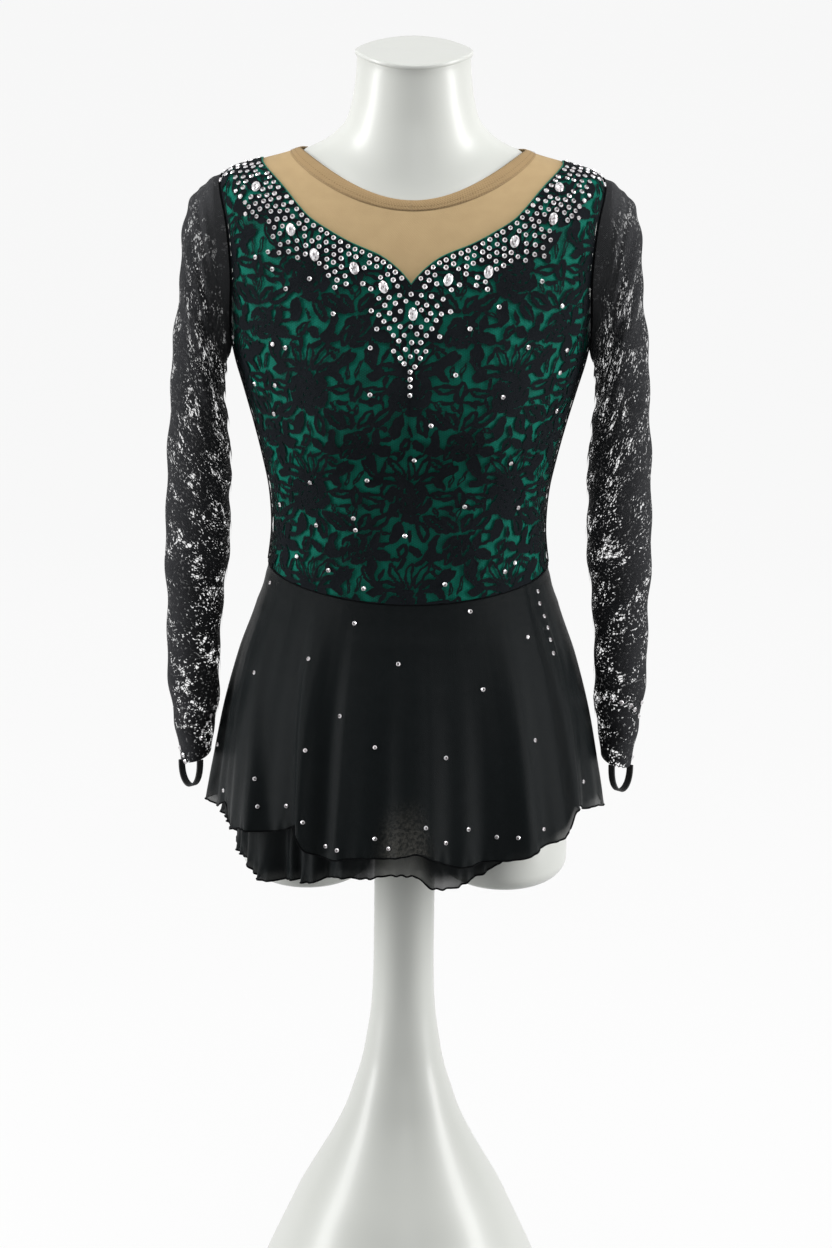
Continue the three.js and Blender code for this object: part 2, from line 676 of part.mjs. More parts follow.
function skirtPoint(angle, down, hem, layer) {
  const side = alongTable(SKIRT, "down", down, "side");
  const front = alongTable(SKIRT, "down", down, "front");
  const back = alongTable(SKIRT, "down", down, "back");
  const shrink = layer * (LAYER_GAP_TOP + (LAYER_GAP_HEM - LAYER_GAP_TOP) * down);
  const wave = foldHeight(angle, down) * (1 - 0.25 * layer) - shrink;
  const top = torsoPoint(angle, LEVEL.waist, 0);
  const away = ((angle + 180) % 360) - 180;
  const hem_z = alongTable(hem, "angle", away, "z");
  const sine = Math.sin(angle * DEGREE);
  const cosine = Math.cos(angle * DEGREE);
  const square = 2.3 - 0.2 * down;
  const reach = (Math.abs(sine) ** square + Math.abs(cosine) ** square) ** (-1 / square);
  const depth = cosine > 0 ? front : back;
  return new THREE.Vector3(
    (side + wave) * reach * sine,
    -(depth + wave) * reach * cosine,
    top.z - SEAM_GAP - 0.4 + (hem_z - top.z) * down,
  );
}

function skirtLayer(hem, layer) {
  const grid = [];
  for (let row = SKIRT_ROWS; row >= 0; row -= 1) {
    const line = [];
    for (let side = 0; side <= SKIRT_SIDES; side += 1) {
      const angle = (side % SKIRT_SIDES) * 360 / SKIRT_SIDES;
      line.push(skirtPoint(angle, row / SKIRT_ROWS, hem, layer));
    }
    grid.push(line);
  }
  return clothWall([{ outer: grid, inner: insideOf(grid, SKIRT_THICKNESS, true) }]);
}

// Form: torso, neck and two thigh stubs in one moulding
const FORM_SIDES = 36;
const FORM_INSET = 2.9;
const SHOULDER_LEVELS = { from: 16, to: 20, step: 0.5 };

function loftRings(rings) {
  // Closed body through rings of equal count, with a flat fan at both ends
  const positions = rings.flat().map((point) => point.toArray());
  const count = rings[0].length;
  const triangles = [];
  for (let ring = 0; ring < rings.length - 1; ring += 1) {
    for (let side = 0; side < count; side += 1) {
      const next = (side + 1) % count;
      const a = ring * count + side;
      const b = ring * count + next;
      triangles.push([a, b, b + count], [a, b + count, a + count]);
    }
  }
  const middle = (ring) => ring
    .reduce((sum, point) => sum.add(point), new THREE.Vector3()).divideScalar(count).toArray();
  const bottom = positions.length;
  positions.push(middle(rings[0]), middle(rings[rings.length - 1]));
  const top_start = (rings.length - 1) * count;
  for (let side = 0; side < count; side += 1) {
    const next = (side + 1) % count;
    triangles.push([bottom, next, side]);
    triangles.push([bottom + 1, top_start + side, top_start + next]);
  }
  return geometryOf(positions, triangles);
}

function torsoRings() {
  // The form is slimmer than the dress under the cloth and bare at the neck
  const rings = [];
  const last = TORSO.length - 1;
  let step = 1;
  for (let level = 0; level <= last; level += step) {
    const at_shoulder = level >= SHOULDER_LEVELS.from && level < SHOULDER_LEVELS.to;
    step = at_shoulder ? SHOULDER_LEVELS.step : 1;
    const covered = Math.min(1, Math.max(0, LEVEL.binding_top + 1.5 - level));
    const ring = [];
    for (let side = 0; side < FORM_SIDES; side += 1) {
      ring.push(torsoPoint(side * 360 / FORM_SIDES, level, -FORM_INSET * covered));
    }
    rings.push(ring);
  }
  return rings;
}

const STUB_SIDES = 24;
const STUB_ROUND_STEPS = 3;

function stubRings(side) {
  const levels = [];
  for (let step = 0; step <= STUB_ROUND_STEPS; step += 1) {
    const angle = step / STUB_ROUND_STEPS * Math.PI / 2;
    levels.push({
      inset: STUB_BOTTOM_RADIUS * (1 - Math.sin(angle)),
      z: STUB_BOTTOM_Z + STUB_BOTTOM_RADIUS * (1 - Math.cos(angle)),
    });
  }
  levels.push({ inset: 0, z: STUB_TOP_Z });
  return levels.map((level) => {
    const ring = [];
    for (let number = 0; number < STUB_SIDES; number += 1) {
      const angle = number * 2 * Math.PI / STUB_SIDES;
      ring.push(new THREE.Vector3(
        side * STUB_CENTRE_X + (STUB_HALF_WIDTH - level.inset) * Math.sin(angle),
        -(STUB_HALF_DEPTH - level.inset) * Math.cos(angle),
        level.z,
      ));
    }
    return ring;
  });
}

function solidOf(geometry) {
  const plain = new THREE.BufferGeometry();
  plain.setAttribute("position", geometry.getAttribute("position"));
  plain.setIndex(geometry.getIndex());
  const merged = mergeVertices(plain, 1e-3);
  return new wasm.Manifold(new wasm.Mesh({
    numProp: 3,
    vertProperties: new Float32Array(merged.getAttribute("position").array),
    triVerts: new Uint32Array(merged.getIndex().array),
  }));
}

function geometryOfSolid(solid) {
  const mesh = solid.getMesh();
  const geometry = new THREE.BufferGeometry();
  geometry.setAttribute("position", new THREE.BufferAttribute(new Float32Array(mesh.vertProperties), 3));
  geometry.setIndex(new THREE.BufferAttribute(new Uint32Array(mesh.triVerts), 1));
  return geometry;
}

function formGeometry() {
  let solid = solidOf(loftRings(torsoRings()));
  for (const side of [-1, 1]) {
    solid = solid.add(solidOf(loftRings(stubRings(side))));
  }
  return geometryOfSolid(solid);
}

function standGeometry() {
  const profile = [new THREE.Vector2(0, 0)];
  for (const row of STAND) {
    profile.push(new THREE.Vector2(row.radius, row.z));
  }
  const top = CROTCH_Z - SEAM_GAP;
  profile.push(new THREE.Vector2(COLUMN_RADIUS, top), new THREE.Vector2(0, top));
  const geometry = new THREE.LatheGeometry(profile, STAND_SIDES);
  geometry.rotateX(Math.PI / 2);
  return geometry;
}

// Finishes
const finish = (color, roughness) => new THREE.MeshStandardMaterial({ color, roughness, metalness: 0 });
const FINISH = {
  form: finish(0xe4e6e0, 0.2),
  lining: finish(0x0f684f, 0.65),
  lace: finish(0x191b1e, 0.8),
  mesh: finish(0xc3a67c, 0.7),
  binding: finish(0xb79a70, 0.7),
  crepe: finish(0x1a1c1e, 0.85),
  elastic: finish(0x151618, 0.8),
};

const group = new THREE.Group();

function piece(name, geometry, material) {
  const mesh = new THREE.Mesh(geometry, material);
  mesh.name = name;
  group.add(mesh);
}

piece("form_torso", formGeometry(), FINISH.form);
piece("stand", standGeometry(), FINISH.form);

piece("bodice_lining_front", clothWall([frontHalf.lining, mirrored(frontHalf.lining)]), FINISH.lining);
piece("bodice_lining_back", clothWall([backHalf.lining, mirrored(backHalf.lining)]), FINISH.lining);
piece("bodice_lace_front", clothWall([frontHalf.lace, mirrored(frontHalf.lace)]), FINISH.lace);
piece("bodice_lace_back", clothWall([backHalf.lace, mirrored(backHalf.lace)]), FINISH.lace);
piece("yoke_front", clothWall([frontYoke, mirrored(frontYoke)]), FINISH.mesh);
piece("yoke_back", clothWall([backYoke, mirrored(backYoke)]), FINISH.mesh);
const bindings = [
  bindingPatch(sweetheart, FRONT_NECK_ROWS),
  bindingPatch(backYokeEdge, BACK_NECK_ROWS),
];
piece("neck_binding", clothWall([...bindings, ...bindings.map(mirrored)]), FINISH.binding);

for (const [name, side] of [["left", -1], ["right", 1]]) {
  for (const [half, gapStart] of [["front", side + 1], ["back", side + 5]]) {
    const wall = clothWall([sleeveHalf(side, half, gapStart)]);
    piece(`sleeve_${name}_${half}`, wall, FINISH.lace);
  }
  piece(`finger_loop_${name}`, clothWall([fingerLoop(side)]), FINISH.elastic);
}

piece("skirt_upper", skirtLayer(UPPER_HEM, 0), FINISH.crepe);
piece("skirt_under", skirtLayer(UNDER_HEM, 1), FINISH.crepe);

export default group;
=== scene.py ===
# %% [markdown]
# # Figure skating dress on a limbless form
# The dress is stretch lace over a green lining, with a nude mesh yoke, sheer lace
# sleeves and two layers of black circular skirt, sewn with rhinestones. It stands
# on a glossy white form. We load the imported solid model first. It is our frame:
# every cloth below is laid on the same body, so nothing has to be fitted by eye.

# %% Load the frame
import bpy
import numpy as np
from mathutils import Matrix, Vector


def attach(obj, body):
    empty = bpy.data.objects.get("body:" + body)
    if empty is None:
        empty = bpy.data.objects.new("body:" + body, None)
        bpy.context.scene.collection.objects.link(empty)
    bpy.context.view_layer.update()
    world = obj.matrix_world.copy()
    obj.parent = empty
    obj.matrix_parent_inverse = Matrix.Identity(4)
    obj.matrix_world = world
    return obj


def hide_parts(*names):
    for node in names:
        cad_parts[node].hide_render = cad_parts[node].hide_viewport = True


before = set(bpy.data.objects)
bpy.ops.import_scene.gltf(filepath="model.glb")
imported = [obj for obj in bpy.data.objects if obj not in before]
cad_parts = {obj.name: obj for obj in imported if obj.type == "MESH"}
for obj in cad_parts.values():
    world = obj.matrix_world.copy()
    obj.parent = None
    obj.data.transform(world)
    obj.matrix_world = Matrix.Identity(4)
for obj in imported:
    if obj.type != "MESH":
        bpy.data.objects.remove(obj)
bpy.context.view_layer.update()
MM = 0.001
print("nodes in the frame:", len(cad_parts))

# %% [markdown]
# ## Camera
# A product photograph of a whole dress is taken from a few metres away, a little
# above, with a long lens. We aim at the middle of the dress and lean the picture
# by less than a degree, as the photograph does. The same numbers tell us later
# which picture point a place on the cloth lands on.

# %% Camera
PHOTO_WIDE = 832
PHOTO_HIGH = 1248
LOOK_DOWN = np.radians(15.0)
LEAN = np.radians(0.7)
DISTANCE = 3.4
AIM = np.array([0.00765, 0.0, 0.710])
SENSOR = 36.0
MM_PER_PIXEL = 0.9
focal_pixels = DISTANCE / MM / MM_PER_PIXEL
camera_data = bpy.data.cameras.new("dress_camera")
camera_data.sensor_fit = "VERTICAL"
camera_data.sensor_height = SENSOR
camera_data.lens = SENSOR * focal_pixels / PHOTO_HIGH
camera = bpy.data.objects.new("dress_camera", camera_data)
bpy.context.collection.objects.link(camera)
camera_place = AIM + DISTANCE * np.array([0.0, -np.cos(LOOK_DOWN), np.sin(LOOK_DOWN)])
camera_turn = Matrix.Rotation(np.pi / 2 - LOOK_DOWN, 3, "X") @ Matrix.Rotation(LEAN, 3, "Z")
camera.location = camera_place
camera.rotation_euler = camera_turn.to_euler()
bpy.context.scene.camera = camera
bpy.context.scene.view_settings.view_transform = "Standard"
print("lens", round(camera_data.lens, 1), "mm")


def picture_place(points):
    """Pixels of the photograph where points in millimetres are seen: the point in the
    camera's own axes, divided by its distance and multiplied by the focal length."""
    axes = np.array(camera_turn)
    local = (np.asarray(points) * MM - camera_place) @ axes
    across = PHOTO_WIDE / 2 + focal_pixels * local[..., 0] / -local[..., 2]
    down = PHOTO_HIGH / 2 - focal_pixels * local[..., 1] / -local[..., 2]
    return np.stack([across, down], axis=-1)


# %% [markdown]
# ## From a grid of points to a mesh
# All cloth here is a grid: rows that rise and columns that run round. One helper
# makes the mesh, with four-cornered faces whose corners turn so that they look
# outwards, a UV map in metres of cloth, and any value we keep for each point.

# %% Mesh helpers
def grid_faces(rows, columns, closed=False):
    """Faces between neighbouring rows and columns; a closed grid joins the ends."""
    row = np.arange(rows - 1)[:, None]
    column = np.arange(columns if closed else columns - 1)[None, :]
    after = (column + 1) % columns
    corners = [row * columns + column, row * columns + after,
               (row + 1) * columns + after, (row + 1) * columns + column]
    return np.stack(corners, axis=-1).reshape(-1, 4)


def ring_faces(rings, sides, closed=False):
    """Faces between rings set along a path; a closed path joins its last to its first."""
    row = np.arange(rings if closed else rings - 1)[:, None]
    after = (row + 1) % rings
    column = np.arange(sides)[None, :]
    beside = (column + 1) % sides
    corners = [row * sides + column, after * sides + column,
               after * sides + beside, row * sides + beside]
    return np.stack(corners, axis=-1).reshape(-1, 4)


def unit(vectors):
    """Each vector divided by its own length."""
    return vectors / np.maximum(np.linalg.norm(vectors, axis=-1, keepdims=True), 1e-9)


def mesh_object(name, points, faces, material, smooth=True):
    """An object at the origin, from points in millimetres."""
    mesh = bpy.data.meshes.new(name)
    places = np.asarray(points, float).reshape(-1, 3) * MM
    mesh.from_pydata(places.tolist(), [], faces if isinstance(faces, list) else faces.tolist())
    mesh.polygons.foreach_set("use_smooth", np.full(len(mesh.polygons), smooth))
    mesh.materials.append(material)
    thing = bpy.data.objects.new(name, mesh)
    bpy.context.collection.objects.link(thing)
    return thing


def add_piece(name, points, faces, material, smooth=True):
    """A finished piece of the dress or its form, which rides the one body."""
    piece = mesh_object(name, points, faces, material, smooth)
    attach(piece, "root")
    return piece


def add_uv(piece, cloth_mm):
    """UV map from a place on the flat cloth for each point, one unit a metre."""
    mesh = piece.data
    corner = np.empty(len(mesh.loops), dtype=np.int32)
    mesh.loops.foreach_get("vertex_index", corner)
    layer = mesh.uv_layers.new(name="cloth")
    flat = np.asarray(cloth_mm, float).reshape(-1, 2) * MM
    layer.data.foreach_set("uv", flat[corner].ravel())


def add_value(piece, name, values, domain="POINT"):
    """A number for each point or face that a material can read."""
    attribute = piece.data.attributes.new(name, "FLOAT", domain)
    attribute.data.foreach_set("value", np.asarray(values, np.float32).ravel())


def cloth_area(points):
    """Area of a grid in square metres: half the cross product of both diagonals."""
    grid = np.asarray(points) * MM
    one = grid[1:, 1:] - grid[:-1, :-1]
    other = grid[1:, :-1] - grid[:-1, 1:]
    return float(np.linalg.norm(np.cross(one, other), axis=-1).sum() / 2)


def grid_normals(points, closed=False):
    """Outward direction at each grid point, across the columns times up the rows."""
    points = np.asarray(points, float)
    if closed:
        across = np.roll(points, -1, axis=1) - np.roll(points, 1, axis=1)
    else:
        across = points[:, np.minimum(np.arange(points.shape[1]) + 2, points.shape[1] - 1)]
        across = across - points[:, np.maximum(np.arange(points.shape[1]) - 2, 0)]
    up = np.gradient(points, axis=0)
    return unit(np.cross(across, up))


def tube(path, radius, sides=8, closed=False):
    """Points and faces of a round cord along a path: a circle across it at each point."""
    path = np.asarray(path, float)
    if closed:
        along = np.roll(path, -1, axis=0) - np.roll(path, 1, axis=0)
    else:
        along = np.gradient(path, axis=0)
    along = unit(along)
    lift = np.where(np.abs(along[:, 2:3]) > 0.9, [[1.0, 0, 0]], [[0, 0, 1.0]])
    aside = unit(np.cross(along, lift))
    upward = np.cross(aside, along)
    turn = np.linspace(0, 2 * np.pi, sides, endpoint=False)
    ring = (np.cos(turn)[None, :, None] * aside[:, None]
            + np.sin(turn)[None, :, None] * upward[:, None])
    points = path[:, None] + ring * radius
    return points.reshape(-1, 3), ring_faces(len(path), sides, closed)


print("a grid of 3 by 3 points has", len(grid_faces(3, 3)), "faces")


# %% [markdown]
# ## The body under the cloth
# A dress form is measured as a tailor measures: width, front depth and back depth
# at each level from the hips to the neck. A smooth curve runs between the levels,
# and each level is a rounded ring, a little squarer than an ellipse. The front
# swells softly at the bust. The solid model uses the same table.

# %% Body shape
LEVELS = np.array([
    # side_x, side_z, front, front_z, back, back_z, squareness
    [146, 560, 92, 560, 104, 560, 2.3], [147, 600, 94, 598, 110, 600, 2.3],
    [143, 650, 94, 645, 108, 650, 2.3], [134, 700, 92, 690, 98, 698, 2.3],
    [126, 740, 90, 727, 88, 737, 2.3], [122, 769, 89, 752, 82, 764, 2.3],
    [119, 800, 90, 784, 80, 798, 2.3], [121, 834, 93, 824, 83, 834, 2.3],
    [127, 864, 96, 860, 87, 866, 2.3], [135, 896, 99, 896, 91, 900, 2.35],
    [144, 928, 100, 930, 93, 936, 2.4], [153, 960, 100, 964, 94, 972, 2.45],
    [159, 1000, 97, 1000, 93, 1010, 2.5], [162, 1040, 91, 1034, 88, 1048, 2.5],
    [164.5, 1078, 85, 1056, 82, 1080, 2.45], [166, 1103, 80, 1070, 76, 1100, 2.35],
    [160, 1115.5, 76.5, 1079, 71, 1109, 2.25], [138, 1124, 73.5, 1086, 66, 1114, 2.15],
    [112, 1131.5, 71, 1092, 61, 1118, 2.1], [93, 1138, 67.5, 1099, 57, 1122.5, 2.05],
    [77, 1145.5, 63, 1108, 54, 1131, 2], [66, 1154, 59, 1120, 51, 1144, 2],
    [58, 1164, 55, 1140, 48, 1166, 2], [53, 1182, 51, 1166, 46, 1184, 2],
    [50.5, 1200, 50, 1189, 46, 1204, 2], [49.5, 1214, 50, 1206, 48, 1220, 2],
    [50.5, 1222, 52, 1215, 50, 1229, 2],
])
WAIST = 5.0
ARMPIT = 11.1
SHOULDER_OUT = 15.7
STRAP_EDGE = 17.3
BINDING_LOW = 18.25
BINDING_TOP = 18.75
BACK_NECK = 16.2
CUP_X, CUP_Z, CUP_ABOVE, CUP_BELOW = 62.0, 915.0, 78.0, 44.0
CUP_SIDE, CUP_RISE, CUP_DIP = 50.0, 17.0, 0.35
# How far out of the body each cloth lies, in millimetres
LINING_OUT, EDGE_OUT, LACE_OUT, ARMHOLE_OUT, STONE_OUT = 1.7, 2.7, 3.3, 3.8, 3.9


def between_rows(rows, position):
    """Catmull-Rom curve through the rows of a table: half of 2b + (c-a)t
    + (2a-5b+4c-d)t^2 + (3b-a-3c+d)t^3, for the four rows a, b, c, d round a place."""
    rows = np.asarray(rows, float)
    last = len(rows) - 1
    position = np.asarray(position, float)
    index = np.clip(np.floor(position).astype(int), 0, last - 1)
    t = (position - index)[..., None]
    a, b, c, d = (rows[np.clip(index + step, 0, last)] for step in (-1, 0, 1, 2))
    return (2 * b + (c - a) * t + (2 * a - 5 * b + 4 * c - d) * t**2
            + (3 * b - a - 3 * c + d) * t**3) / 2


def ring_reach(sine, cosine, square):
    """How far out a rounded square lies at a turn, where a circle lies out by one."""
    return (np.abs(sine) ** square + np.abs(cosine) ** square) ** (-1 / square)


def body_base(angle, level):
    """Ring point: x = side * r * sin, y = -depth * r * cos, where r makes a rounded
    square of a circle; height goes from side to front or back with cos squared."""
    angle, level = np.broadcast_arrays(np.asarray(angle, float), np.asarray(level, float))
    side_x, side_z, front, front_z, back, back_z, square = np.moveaxis(
        between_rows(LEVELS, level), -1, 0)
    sine, cosine = np.sin(np.radians(angle)), np.cos(np.radians(angle))
    reach = ring_reach(sine, cosine, square)
    ahead = cosine > 0
    x = side_x * reach * sine
    y = -np.where(ahead, front, back) * reach * cosine
    z = side_z + (np.where(ahead, front_z, back_z) - side_z) * cosine**2
    off = np.abs(x) - CUP_X
    across = np.where(off < 0, 1 - CUP_DIP * (off / CUP_X) ** 2, np.exp(-((off / CUP_SIDE) ** 2)))
    high = z - CUP_Z
    along = np.exp(-((high / np.where(high > 0, CUP_ABOVE, CUP_BELOW)) ** 2))
    swell = CUP_RISE * across * along * np.clip(cosine * 2, 0, 1)
    return np.stack([x, y - swell, z], axis=-1)


def body_point(angle, level, outside):
    """The ring point moved out along the surface's own direction."""
    angle, level = np.broadcast_arrays(np.asarray(angle, float), np.asarray(level, float))
    around = body_base(angle + 1, level) - body_base(angle - 1, level)
    up = body_base(angle, level + 0.02) - body_base(angle, level - 0.02)
    away = unit(np.cross(around, up)) * np.asarray(outside, float)[..., None]
    return body_base(angle, level) + away


print("waist is", round(float(body_base(90, WAIST)[0] * 2)), "mm wide")

# %% [markdown]
# ## Pattern lines
# A pattern cutter draws a panel by its edges: the sweetheart edge, the armhole and
# the back neck. Each is a smooth line through a few places on the body. A panel is
# then filled with rows that run from the middle line or the neck to the side.

# %% Pattern lines
SIDE_FRONT, SIDE_BACK = 89.9, 90.1
SWEETHEART_XZ = [(0.01, 1034), (12, 1047), (26, 1057), (53, 1068), (78, 1081), (98, 1096),
                 (113, 1111)]


def place_seen(x, z):
    """Angle and level of the front that is seen at x and z: the nearest of a fine
    table of places, then the nearest of a finer table round it, three times."""
    middle, reach = np.array([45.0, 14.0]), np.array([45.0, 5.0])
    for _ in range(5):
        angle = np.clip(middle[0] + np.linspace(-1, 1, 61) * reach[0], 0, 90)[:, None]
        level = (middle[1] + np.linspace(-1, 1, 61) * reach[1])[None, :]
        seen = body_base(angle, level)
        far = np.hypot(seen[..., 0] - x, seen[..., 2] - z)
        best = np.unravel_index(np.argmin(far), far.shape)
        middle = np.array([angle[best[0], 0], level[0, best[1]]])
        reach = reach * 0.12
    return tuple(middle)


def line_through(places):
    """Centripetal Catmull-Rom curve through places, with ends carried on straight:
    each span is a cubic whose end slopes come from the roots of the distances."""
    places = np.asarray(places, float) * [1, 10]
    ends = np.vstack([2 * places[0] - places[1], places, 2 * places[-1] - places[-2]])
    root = np.sqrt(np.linalg.norm(np.diff(ends, axis=0), axis=1))[:, None]

    def along(part):
        spans = len(places) - 1
        position = np.clip(np.asarray(part, float), 0, 1) * spans
        index = np.minimum(position.astype(int), spans - 1)
        t = (position - index)[..., None]
        a, b, c, d = (ends[index + step] for step in range(4))
        r0, r1, r2 = (root[index + step] for step in range(3))
        slope_b = ((b - a) / r0 - (c - a) / (r0 + r1) + (c - b) / r1) * r1
        slope_c = ((c - b) / r1 - (d - b) / (r1 + r2) + (d - c) / r2) * r1
        cubic = (b + slope_b * t + (3 * (c - b) - 2 * slope_b - slope_c) * t**2
                 + (2 * (b - c) + slope_b + slope_c) * t**3)
        return cubic[..., 0], cubic[..., 1] / 10
    return along


seen_places = [place_seen(x, z) for x, z in SWEETHEART_XZ]
sweetheart = line_through([(0, seen_places[0][1])] + seen_places[1:] + [(SIDE_FRONT, STRAP_EDGE)])
front_armhole = line_through([(SIDE_FRONT, ARMPIT), (76, ARMPIT + 0.35), (66, ARMPIT + 1.6),
                              (71, SHOULDER_OUT - 1.1), (SIDE_FRONT, SHOULDER_OUT)])
back_armhole = line_through([(SIDE_BACK, ARMPIT), (104, ARMPIT + 0.35), (117, ARMPIT + 1.7),
                             (111, SHOULDER_OUT - 1.1), (SIDE_BACK, SHOULDER_OUT)])
back_neck = line_through([(180, BACK_NECK), (150, BACK_NECK + 0.15), (120, BACK_NECK + 0.55),
                          (SIDE_BACK, STRAP_EDGE)])
print("sweetheart edge starts at level", round(float(seen_places[0][1]), 2))

# %% [markdown]
# A panel is a square of rows and columns stretched between those edges, so any place
# on it is two numbers, up and across. The lining, the lace and the yoke all use them.

# %% Panels
NECK_SHARE = {"front": 1 - 8 / 18, "back": 1 - 5 / 18}
ARMPIT_SHARE = 0.5


def panel_places(which, up, across):
    """Angle and level on half a bodice panel: a straight row between the inner edge
    (middle line, then neck edge) and the outer edge (side seam, then armhole)."""
    middle, side = (0, SIDE_FRONT) if which == "front" else (180, SIDE_BACK)
    neck = sweetheart if which == "front" else back_neck
    armhole = front_armhole if which == "front" else back_armhole
    share = NECK_SHARE[which]
    neck_angle, neck_level = neck((up - share) / (1 - share))
    start_level = neck(0)[1]
    low = up < share
    inner_angle = np.where(low, middle, neck_angle)
    inner_level = np.where(low, WAIST + (start_level - WAIST) * up / share, neck_level)
    hole_angle, hole_level = armhole((up - ARMPIT_SHARE) / (1 - ARMPIT_SHARE))
    under = up < ARMPIT_SHARE
    outer_angle = np.where(under, side, hole_angle)
    outer_level = np.where(under, WAIST + (ARMPIT - WAIST) * up / ARMPIT_SHARE, hole_level)
    return (inner_angle + (outer_angle - inner_angle) * across,
            inner_level + (outer_level - inner_level) * across)


def whole_panel(which, rows, half_columns):
    """Angle and level over both halves, columns running so that the faces look out.
    The middle column is there twice, once for each half."""
    up = np.linspace(0, 1, rows)[:, None]
    across = np.concatenate([np.linspace(1, 0, half_columns + 1),
                             np.linspace(0, 1, half_columns + 1)])[None, :]
    first = np.arange(2 * half_columns + 2)[None, :] <= half_columns
    angle, level = panel_places(which, up + 0 * across, across + 0 * up)
    if which == "front":
        return angle * np.where(first, -1, 1), level
    return np.where(first, angle, 360 - angle), level


def panel_faces(which, rows, columns):
    """Faces of a whole panel. Below the neck both halves share one middle column,
    above it the cells between them are the neck opening and are left out. Returns
    the faces and which points are used."""
    half = columns // 2
    number = np.arange(rows * columns).reshape(rows, columns)
    joined = np.linspace(0, 1, rows) <= NECK_SHARE[which] + 1e-6
    number[joined, half] = number[joined, half - 1]
    cells = np.stack([number[:-1, :-1], number[:-1, 1:], number[1:, 1:], number[1:, :-1]], axis=-1)
    cells = np.delete(cells, half - 1, axis=1).reshape(-1, 4)
    used = np.unique(cells)
    return np.searchsorted(used, cells), used


LACE_ROWS_FRONT, LACE_ROWS_BACK, LACE_HALF = 244, 235, 130
front_angle, front_level = whole_panel("front", LACE_ROWS_FRONT, LACE_HALF)
back_angle, back_level = whole_panel("back", LACE_ROWS_BACK, LACE_HALF)
front_cloth = body_point(front_angle, front_level, LACE_OUT)
back_cloth = body_point(back_angle, back_level, LACE_OUT)
print("front panel", round(cloth_area(front_cloth), 4), "back", round(cloth_area(back_cloth), 4))

# %% [markdown]
# ## Where a point lies on the flat cloth
# Lace keeps its scale when it is worn, so its pattern needs real lengths. We add up
# distances on a fine table of the body: round from the middle line gives the
# cloth's width, and up from the waist its length.

# %% Lengths along the cloth
TABLE_ANGLES = np.linspace(0, 91, 183)
TABLE_LEVELS = np.linspace(WAIST - 0.2, BINDING_TOP, 160)


def length_tables(which):
    """Sums of the distances between neighbours of a fine table, across and up."""
    angles = TABLE_ANGLES if which == "front" else 180 - TABLE_ANGLES
    grid = body_point(angles[None, :], TABLE_LEVELS[:, None], LACE_OUT)
    across = np.linalg.norm(np.diff(grid, axis=1), axis=-1)
    upward = np.linalg.norm(np.diff(grid, axis=0), axis=-1)
    width = np.pad(np.cumsum(across, axis=1), ((0, 0), (1, 0)))
    length = np.pad(np.cumsum(upward, axis=0), ((1, 0), (0, 0)))
    return np.stack([width, length + (grid[0, :, 2] - grid[0, 0, 2])[None]], axis=-1)


def flat_place(which, angle, level):
    """Place on the flat cloth in millimetres, read between the table's corners."""
    away = angle if which == "front" else angle - 180
    table = length_tables(which)
    column = np.clip(np.abs(away) / TABLE_ANGLES[1], 0, len(TABLE_ANGLES) - 1.001)
    row = (level - TABLE_LEVELS[0]) / (TABLE_LEVELS[1] - TABLE_LEVELS[0])
    row = np.clip(row, 0, len(TABLE_LEVELS) - 1.001)
    i, j = row.astype(int), column.astype(int)
    s, t = (row - i)[..., None], (column - j)[..., None]
    low = table[i, j] * (1 - t) + table[i, j + 1] * t
    high = table[i + 1, j] * (1 - t) + table[i + 1, j + 1] * t
    flat = low * (1 - s) + high * s
    return np.stack([flat[..., 0] * np.sign(away), flat[..., 1]], axis=-1)


front_flat = flat_place("front", front_angle, front_level)
back_flat = flat_place("back", back_angle, back_level)
print("front lace is cut", np.ptp(front_flat.reshape(-1, 2), axis=0).round(), "mm")

# %% [markdown]
# ## Finishes
# Each cloth is told apart by how it scatters light: matt crepe, cotton-like lace
# thread, smooth lining, dull mesh. One shared group of nodes gives all of them a
# thread grain. A group can hold noise and sums, while the
# shader itself stays in each material so that it can be exported.

# %% Node helpers
def new_material(name, roughness, colour):
    """A material with one Principled shader, its plain numbers set on its sockets."""
    material = bpy.data.materials.new(name)
    material.use_nodes = True
    nodes, links = material.node_tree.nodes, material.node_tree.links
    shader = nodes["Principled BSDF"]
    shader.inputs["Roughness"].default_value = roughness
    shader.inputs["Base Color"].default_value = (*colour, 1)
    material.diffuse_color = (*colour, 1)
    return material, nodes, links, shader


def math_node(tree, kind, *values):
    """A Math node; each value is a number or the socket that feeds it."""
    node = tree.nodes.new("ShaderNodeMath")
    node.operation = kind
    for number, value in enumerate(values):
        if isinstance(value, (int, float)):
            node.inputs[number].default_value = value
        else:
            tree.links.new(value, node.inputs[number])
    return node.outputs[0]


def ramp_value(tree, value, from_low, from_high, to_low, to_high):
    """A value carried smoothly from one range to another, and held at its ends."""
    node = tree.nodes.new("ShaderNodeMapRange")
    node.interpolation_type = "SMOOTHSTEP"
    tree.links.new(value, node.inputs["Value"])
    for socket, number in (("From Min", from_low), ("From Max", from_high),
                           ("To Min", to_low), ("To Max", to_high)):
        node.inputs[socket].default_value = number
    return node.outputs["Result"]


def mix_colours(tree, share, low, high):
    """A colour between two, by a share from 0 to 1."""
    node = tree.nodes.new("ShaderNodeMix")
    node.data_type = "RGBA"
    tree.links.new(share, node.inputs["Factor"])
    for socket, colour in ((node.inputs[6], low), (node.inputs[7], high)):
        if isinstance(colour, tuple):
            socket.default_value = (*colour, 1)
        else:
            tree.links.new(colour, socket)
    return node.outputs[2]


